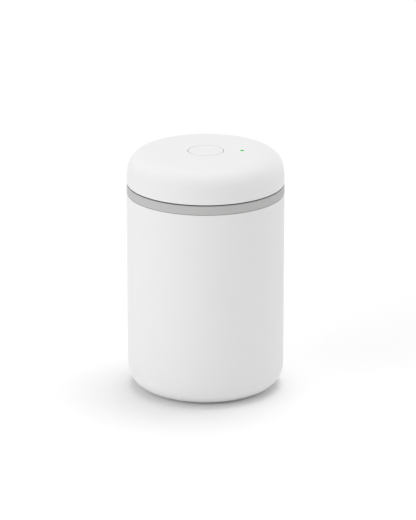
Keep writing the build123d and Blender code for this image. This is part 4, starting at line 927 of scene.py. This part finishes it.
class CANISTER_OT_lamp(bpy.types.Operator):
    """Builds the light pipe that glows green on top of the lid."""

    bl_idname = "canister.build_lamp"
    bl_label = "Lamp"

    def execute(self, context):
        scene = context.scene
        lid, top = scene.canister_lid, scene.canister_top
        ceiling = LID_TOP - lid.wall
        flange_low = ceiling - top.flange_height
        outline = [
            (0.0, PIPE_LOW), (top.lamp, PIPE_LOW), (top.lamp, flange_low),
            (top.lamp_flange, flange_low), (top.lamp_flange, ceiling), (top.lamp, ceiling),
            (top.lamp, LID_TOP, top.lamp_round), (0.0, LID_TOP),
        ]
        made = turned("light_pipe_lens", outline, SLIM_TURN, [(top.lamp_x, 0.0)])
        for face in made.data.polygons:
            face.material_index = 1 if face.center.z > LID_TOP - top.lamp_round else 0
        colours = scene.canister_colours
        lit = make_finish(
            "lit_green", [colours.lamp_shade * channel for channel in colours.lamp],
            roughness=0.5, grain=0.3, relief=1, tone=0.05,
            sockets={
                "Emission Color": (*colours.lamp, 1.0), "Emission Strength": colours.lamp_glow,
                "IOR": 1.49, "Specular IOR Level": 0.0,
            },
        )
        clear = make_finish(
            "clear_acrylic", (0.75, 0.9, 0.76), roughness=0.12, grain=0.6, relief=1, tone=0.01,
            sockets={"Transmission Weight": 0.9, "IOR": 1.49},
        )
        finish_piece(made, "lid", "light_green", [clear, lit], "light_pipe")
        return {"FINISHED"}


class CANISTER_OT_port(bpy.types.Operator):
    """Builds the shell of the charging port and its contact tongue."""

    bl_idname = "canister.build_port"
    bl_label = "Charging port"

    def execute(self, context):
        top = context.scene.canister_top
        bm = bmesh.new()
        oval_bar(bm, top.port_width, top.port_height, PORT_FRONT, PORT_BACK, PORT_LEVEL)
        made = new_object("port_shell", bm)
        room = bmesh.new()
        oval_bar(
            room, top.port_width - 2 * top.port_wall, top.port_height - 2 * top.port_wall,
            PORT_FRONT + top.port_wall, PORT_BACK + top.port_wall, PORT_LEVEL,
        )
        combine(made, room, "DIFFERENCE")
        bm = bmesh.new()
        bm.from_mesh(made.data)
        rim = [
            edge for edge in bm.edges
            if all(abs(vert.co.y - PORT_FRONT) < SAME_PLACE for vert in edge.verts)
            and edge.calc_face_angle(0.0) > CRISP_ANGLE
        ]
        round_off(bm, rim, top.rim_round, EDGE_STEPS, "EDGES")
        bm.to_mesh(made.data)
        bm.free()
        tinned = make_finish(
            "tinned_steel", (0.66, 0.65, 0.63), roughness=0.28, grain=0.12, relief=2, tone=0.05,
            stretch=(1.0, 0.05, 1.0), sockets=METAL,
        )
        finish_piece(made, "lid", "tin_steel", [tinned], "charge_port")

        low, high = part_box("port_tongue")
        bm = bmesh.new()
        box_bar(bm, low, high)
        round_off(bm, bm.edges[:], top.tongue_round, EDGE_STEPS, "EDGES")
        middle = (low + high) / 2
        reach = Vector(
            (top.contact_pitch / 4, top.contact_reach * (high.y - low.y) / 2, top.contact_rise)
        )
        for side in (low.z, high.z):
            for at in range(top.contacts):
                x = (at - (top.contacts - 1) / 2) * top.contact_pitch
                place = Vector((x, middle.y, side))
                for vert in box_bar(bm, place - reach, place + reach):
                    for face in vert.link_faces:
                        face.material_index = 1
        tongue = new_object("contact_tongue", bm)
        resin = make_finish(
            "port_resin", (0.02, 0.02, 0.021), roughness=0.5, grain=0.1, relief=2, tone=0.1
        )
        gilt = make_finish(
            "gilt_contact", (0.75, 0.5, 0.17), roughness=0.25, grain=0.1, relief=1, tone=0.05,
            sockets=METAL,
        )
        finish_piece(tongue, "lid", "switch_black", [resin, gilt], "port_tongue")
        return {"FINISHED"}


class CANISTER_OT_works(bpy.types.Operator):
    """Gives the pump, the battery, the board and the valve inside the lid their finishes."""

    bl_idname = "canister.finish_works"
    bl_label = "Inner works"

    def execute(self, context):
        finishes = {}
        for row in frame["record"]["subparts"]:
            part, slot = frame["nodes"][row["node"]], row["material_slot"]
            if part.hide_render:
                continue
            if slot not in finishes:
                colour, roughness, pattern = INNER_FINISHES[slot]
                finishes[slot] = make_finish(slot, colour, roughness, **pattern)
            part.data.materials.clear()
            part.data.materials.append(finishes[slot])
        return {"FINISHED"}


def seen_directly(tree):
    """A socket that is 1 for rays from the camera and in mirrors and glass, and 0 otherwise."""
    path = node(tree, "ShaderNodeLightPath")
    seen = path.outputs["Is Camera Ray"]
    for ray in ("Is Glossy Ray", "Is Transmission Ray"):
        either = node(tree, "ShaderNodeMath", {"operation": "MAXIMUM"})
        tree.links.new(seen, either.inputs[0])
        tree.links.new(path.outputs[ray], either.inputs[1])
        seen = either.outputs[0]
    return seen


def floor_finish(colour):
    """A matt pale floor that takes the shadow."""
    material = bpy.data.materials.new("floor")
    tree, output = empty_tree(material, "ShaderNodeOutputMaterial")
    matt = node(tree, "ShaderNodeBsdfDiffuse", inputs={"Color": (*colour, 1.0)})
    tree.links.new(matt.outputs[0], output.inputs["Surface"])
    return material


def studio_world(ambient):
    """An even light from all sides, seen as plain white."""
    world = bpy.data.worlds.new("studio")
    tree, output = empty_tree(world, "ShaderNodeOutputWorld")
    mixed = node(tree, "ShaderNodeMixShader")
    tree.links.new(seen_directly(tree), mixed.inputs["Fac"])
    for at, strength in ((1, ambient), (2, 1.0)):
        light = node(tree, "ShaderNodeBackground", inputs={"Color": WHITE, "Strength": strength})
        tree.links.new(light.outputs[0], mixed.inputs[at])
    tree.links.new(mixed.outputs[0], output.inputs["Surface"])
    return world


class CANISTER_OT_stage(bpy.types.Operator):
    """Sets the pale floor, the soft lamps, the world and the camera."""

    bl_idname = "canister.set_stage"
    bl_label = "Stage"

    def execute(self, context):
        scene, stage = context.scene, context.scene.canister_stage
        bm = bmesh.new()
        bmesh.ops.create_grid(bm, x_segments=1, y_segments=1, size=stage.floor_width / 2)
        floor = new_object("floor", bm)
        floor.data.materials.append(floor_finish(stage.floor_colour))

        for name, turn, height, spread, strength in LAMPS:
            lamp = bpy.data.lights.new(name, "SUN")
            lamp.angle, lamp.energy = math.radians(spread), strength
            holder = bpy.data.objects.new(name, lamp)
            holder.rotation_euler = Euler((math.radians(90 - height), 0, math.radians(turn)))
            scene.collection.objects.link(holder)

        scene.world = studio_world(stage.ambient)

        camera = bpy.data.cameras.new("camera")
        camera.lens, camera.sensor_width = stage.lens, stage.sensor
        holder = bpy.data.objects.new("camera", camera)
        holder.location = (
            stage.look_right,
            -stage.distance * math.cos(stage.tilt),
            stage.look_height + stage.distance * math.sin(stage.tilt),
        )
        holder.rotation_euler = Euler((math.pi / 2 - stage.tilt, 0.0, 0.0))
        scene.collection.objects.link(holder)
        scene.camera = holder
        scene.view_settings.view_transform = "Standard"
        return {"FINISHED"}


class CANISTER_PT_panel(bpy.types.Panel):
    """Lists the sizes, the colours and the steps that build the canister."""

    bl_idname = "CANISTER_PT_panel"
    bl_label = "Vacuum Seal Canister"
    bl_space_type = "VIEW_3D"
    bl_region_type = "UI"
    bl_category = "Canister"

    def draw(self, context):
        for operator in OPERATORS:
            self.layout.operator(operator.bl_idname)
        for name, group in GROUPS.items():
            box = self.layout.box()
            for key in group.__annotations__:
                box.prop(getattr(context.scene, name), key)


GROUPS = {
    "canister_cup": CupSizes,
    "canister_lid": LidSizes,
    "canister_plug": PlugSizes,
    "canister_top": TopSizes,
    "canister_colours": FinishColours,
    "canister_stage": StageSettings,
}
OPERATORS = [
    CANISTER_OT_cup, CANISTER_OT_collar, CANISTER_OT_foot, CANISTER_OT_lid, CANISTER_OT_plug,
    CANISTER_OT_seals, CANISTER_OT_filter, CANISTER_OT_button, CANISTER_OT_lamp,
    CANISTER_OT_port, CANISTER_OT_works, CANISTER_OT_stage,
]


def register():
    """Registers the groups, the operators and the panel."""
    for group in GROUPS.values():
        bpy.utils.register_class(group)
    for name, group in GROUPS.items():
        setattr(bpy.types.Scene, name, PointerProperty(type=group))
    for operator in OPERATORS:
        bpy.utils.register_class(operator)
    bpy.utils.register_class(CANISTER_PT_panel)


def unregister():
    """Takes the groups, the operators and the panel out again."""
    bpy.utils.unregister_class(CANISTER_PT_panel)
    for operator in reversed(OPERATORS):
        bpy.utils.unregister_class(operator)
    for name, group in reversed(GROUPS.items()):
        delattr(bpy.types.Scene, name)
        bpy.utils.unregister_class(group)


def main():
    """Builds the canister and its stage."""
    register()
    for operator in OPERATORS:
        group, name = operator.bl_idname.split(".")
        getattr(getattr(bpy.ops, group), name)()


if __name__ == "__main__":
    main()
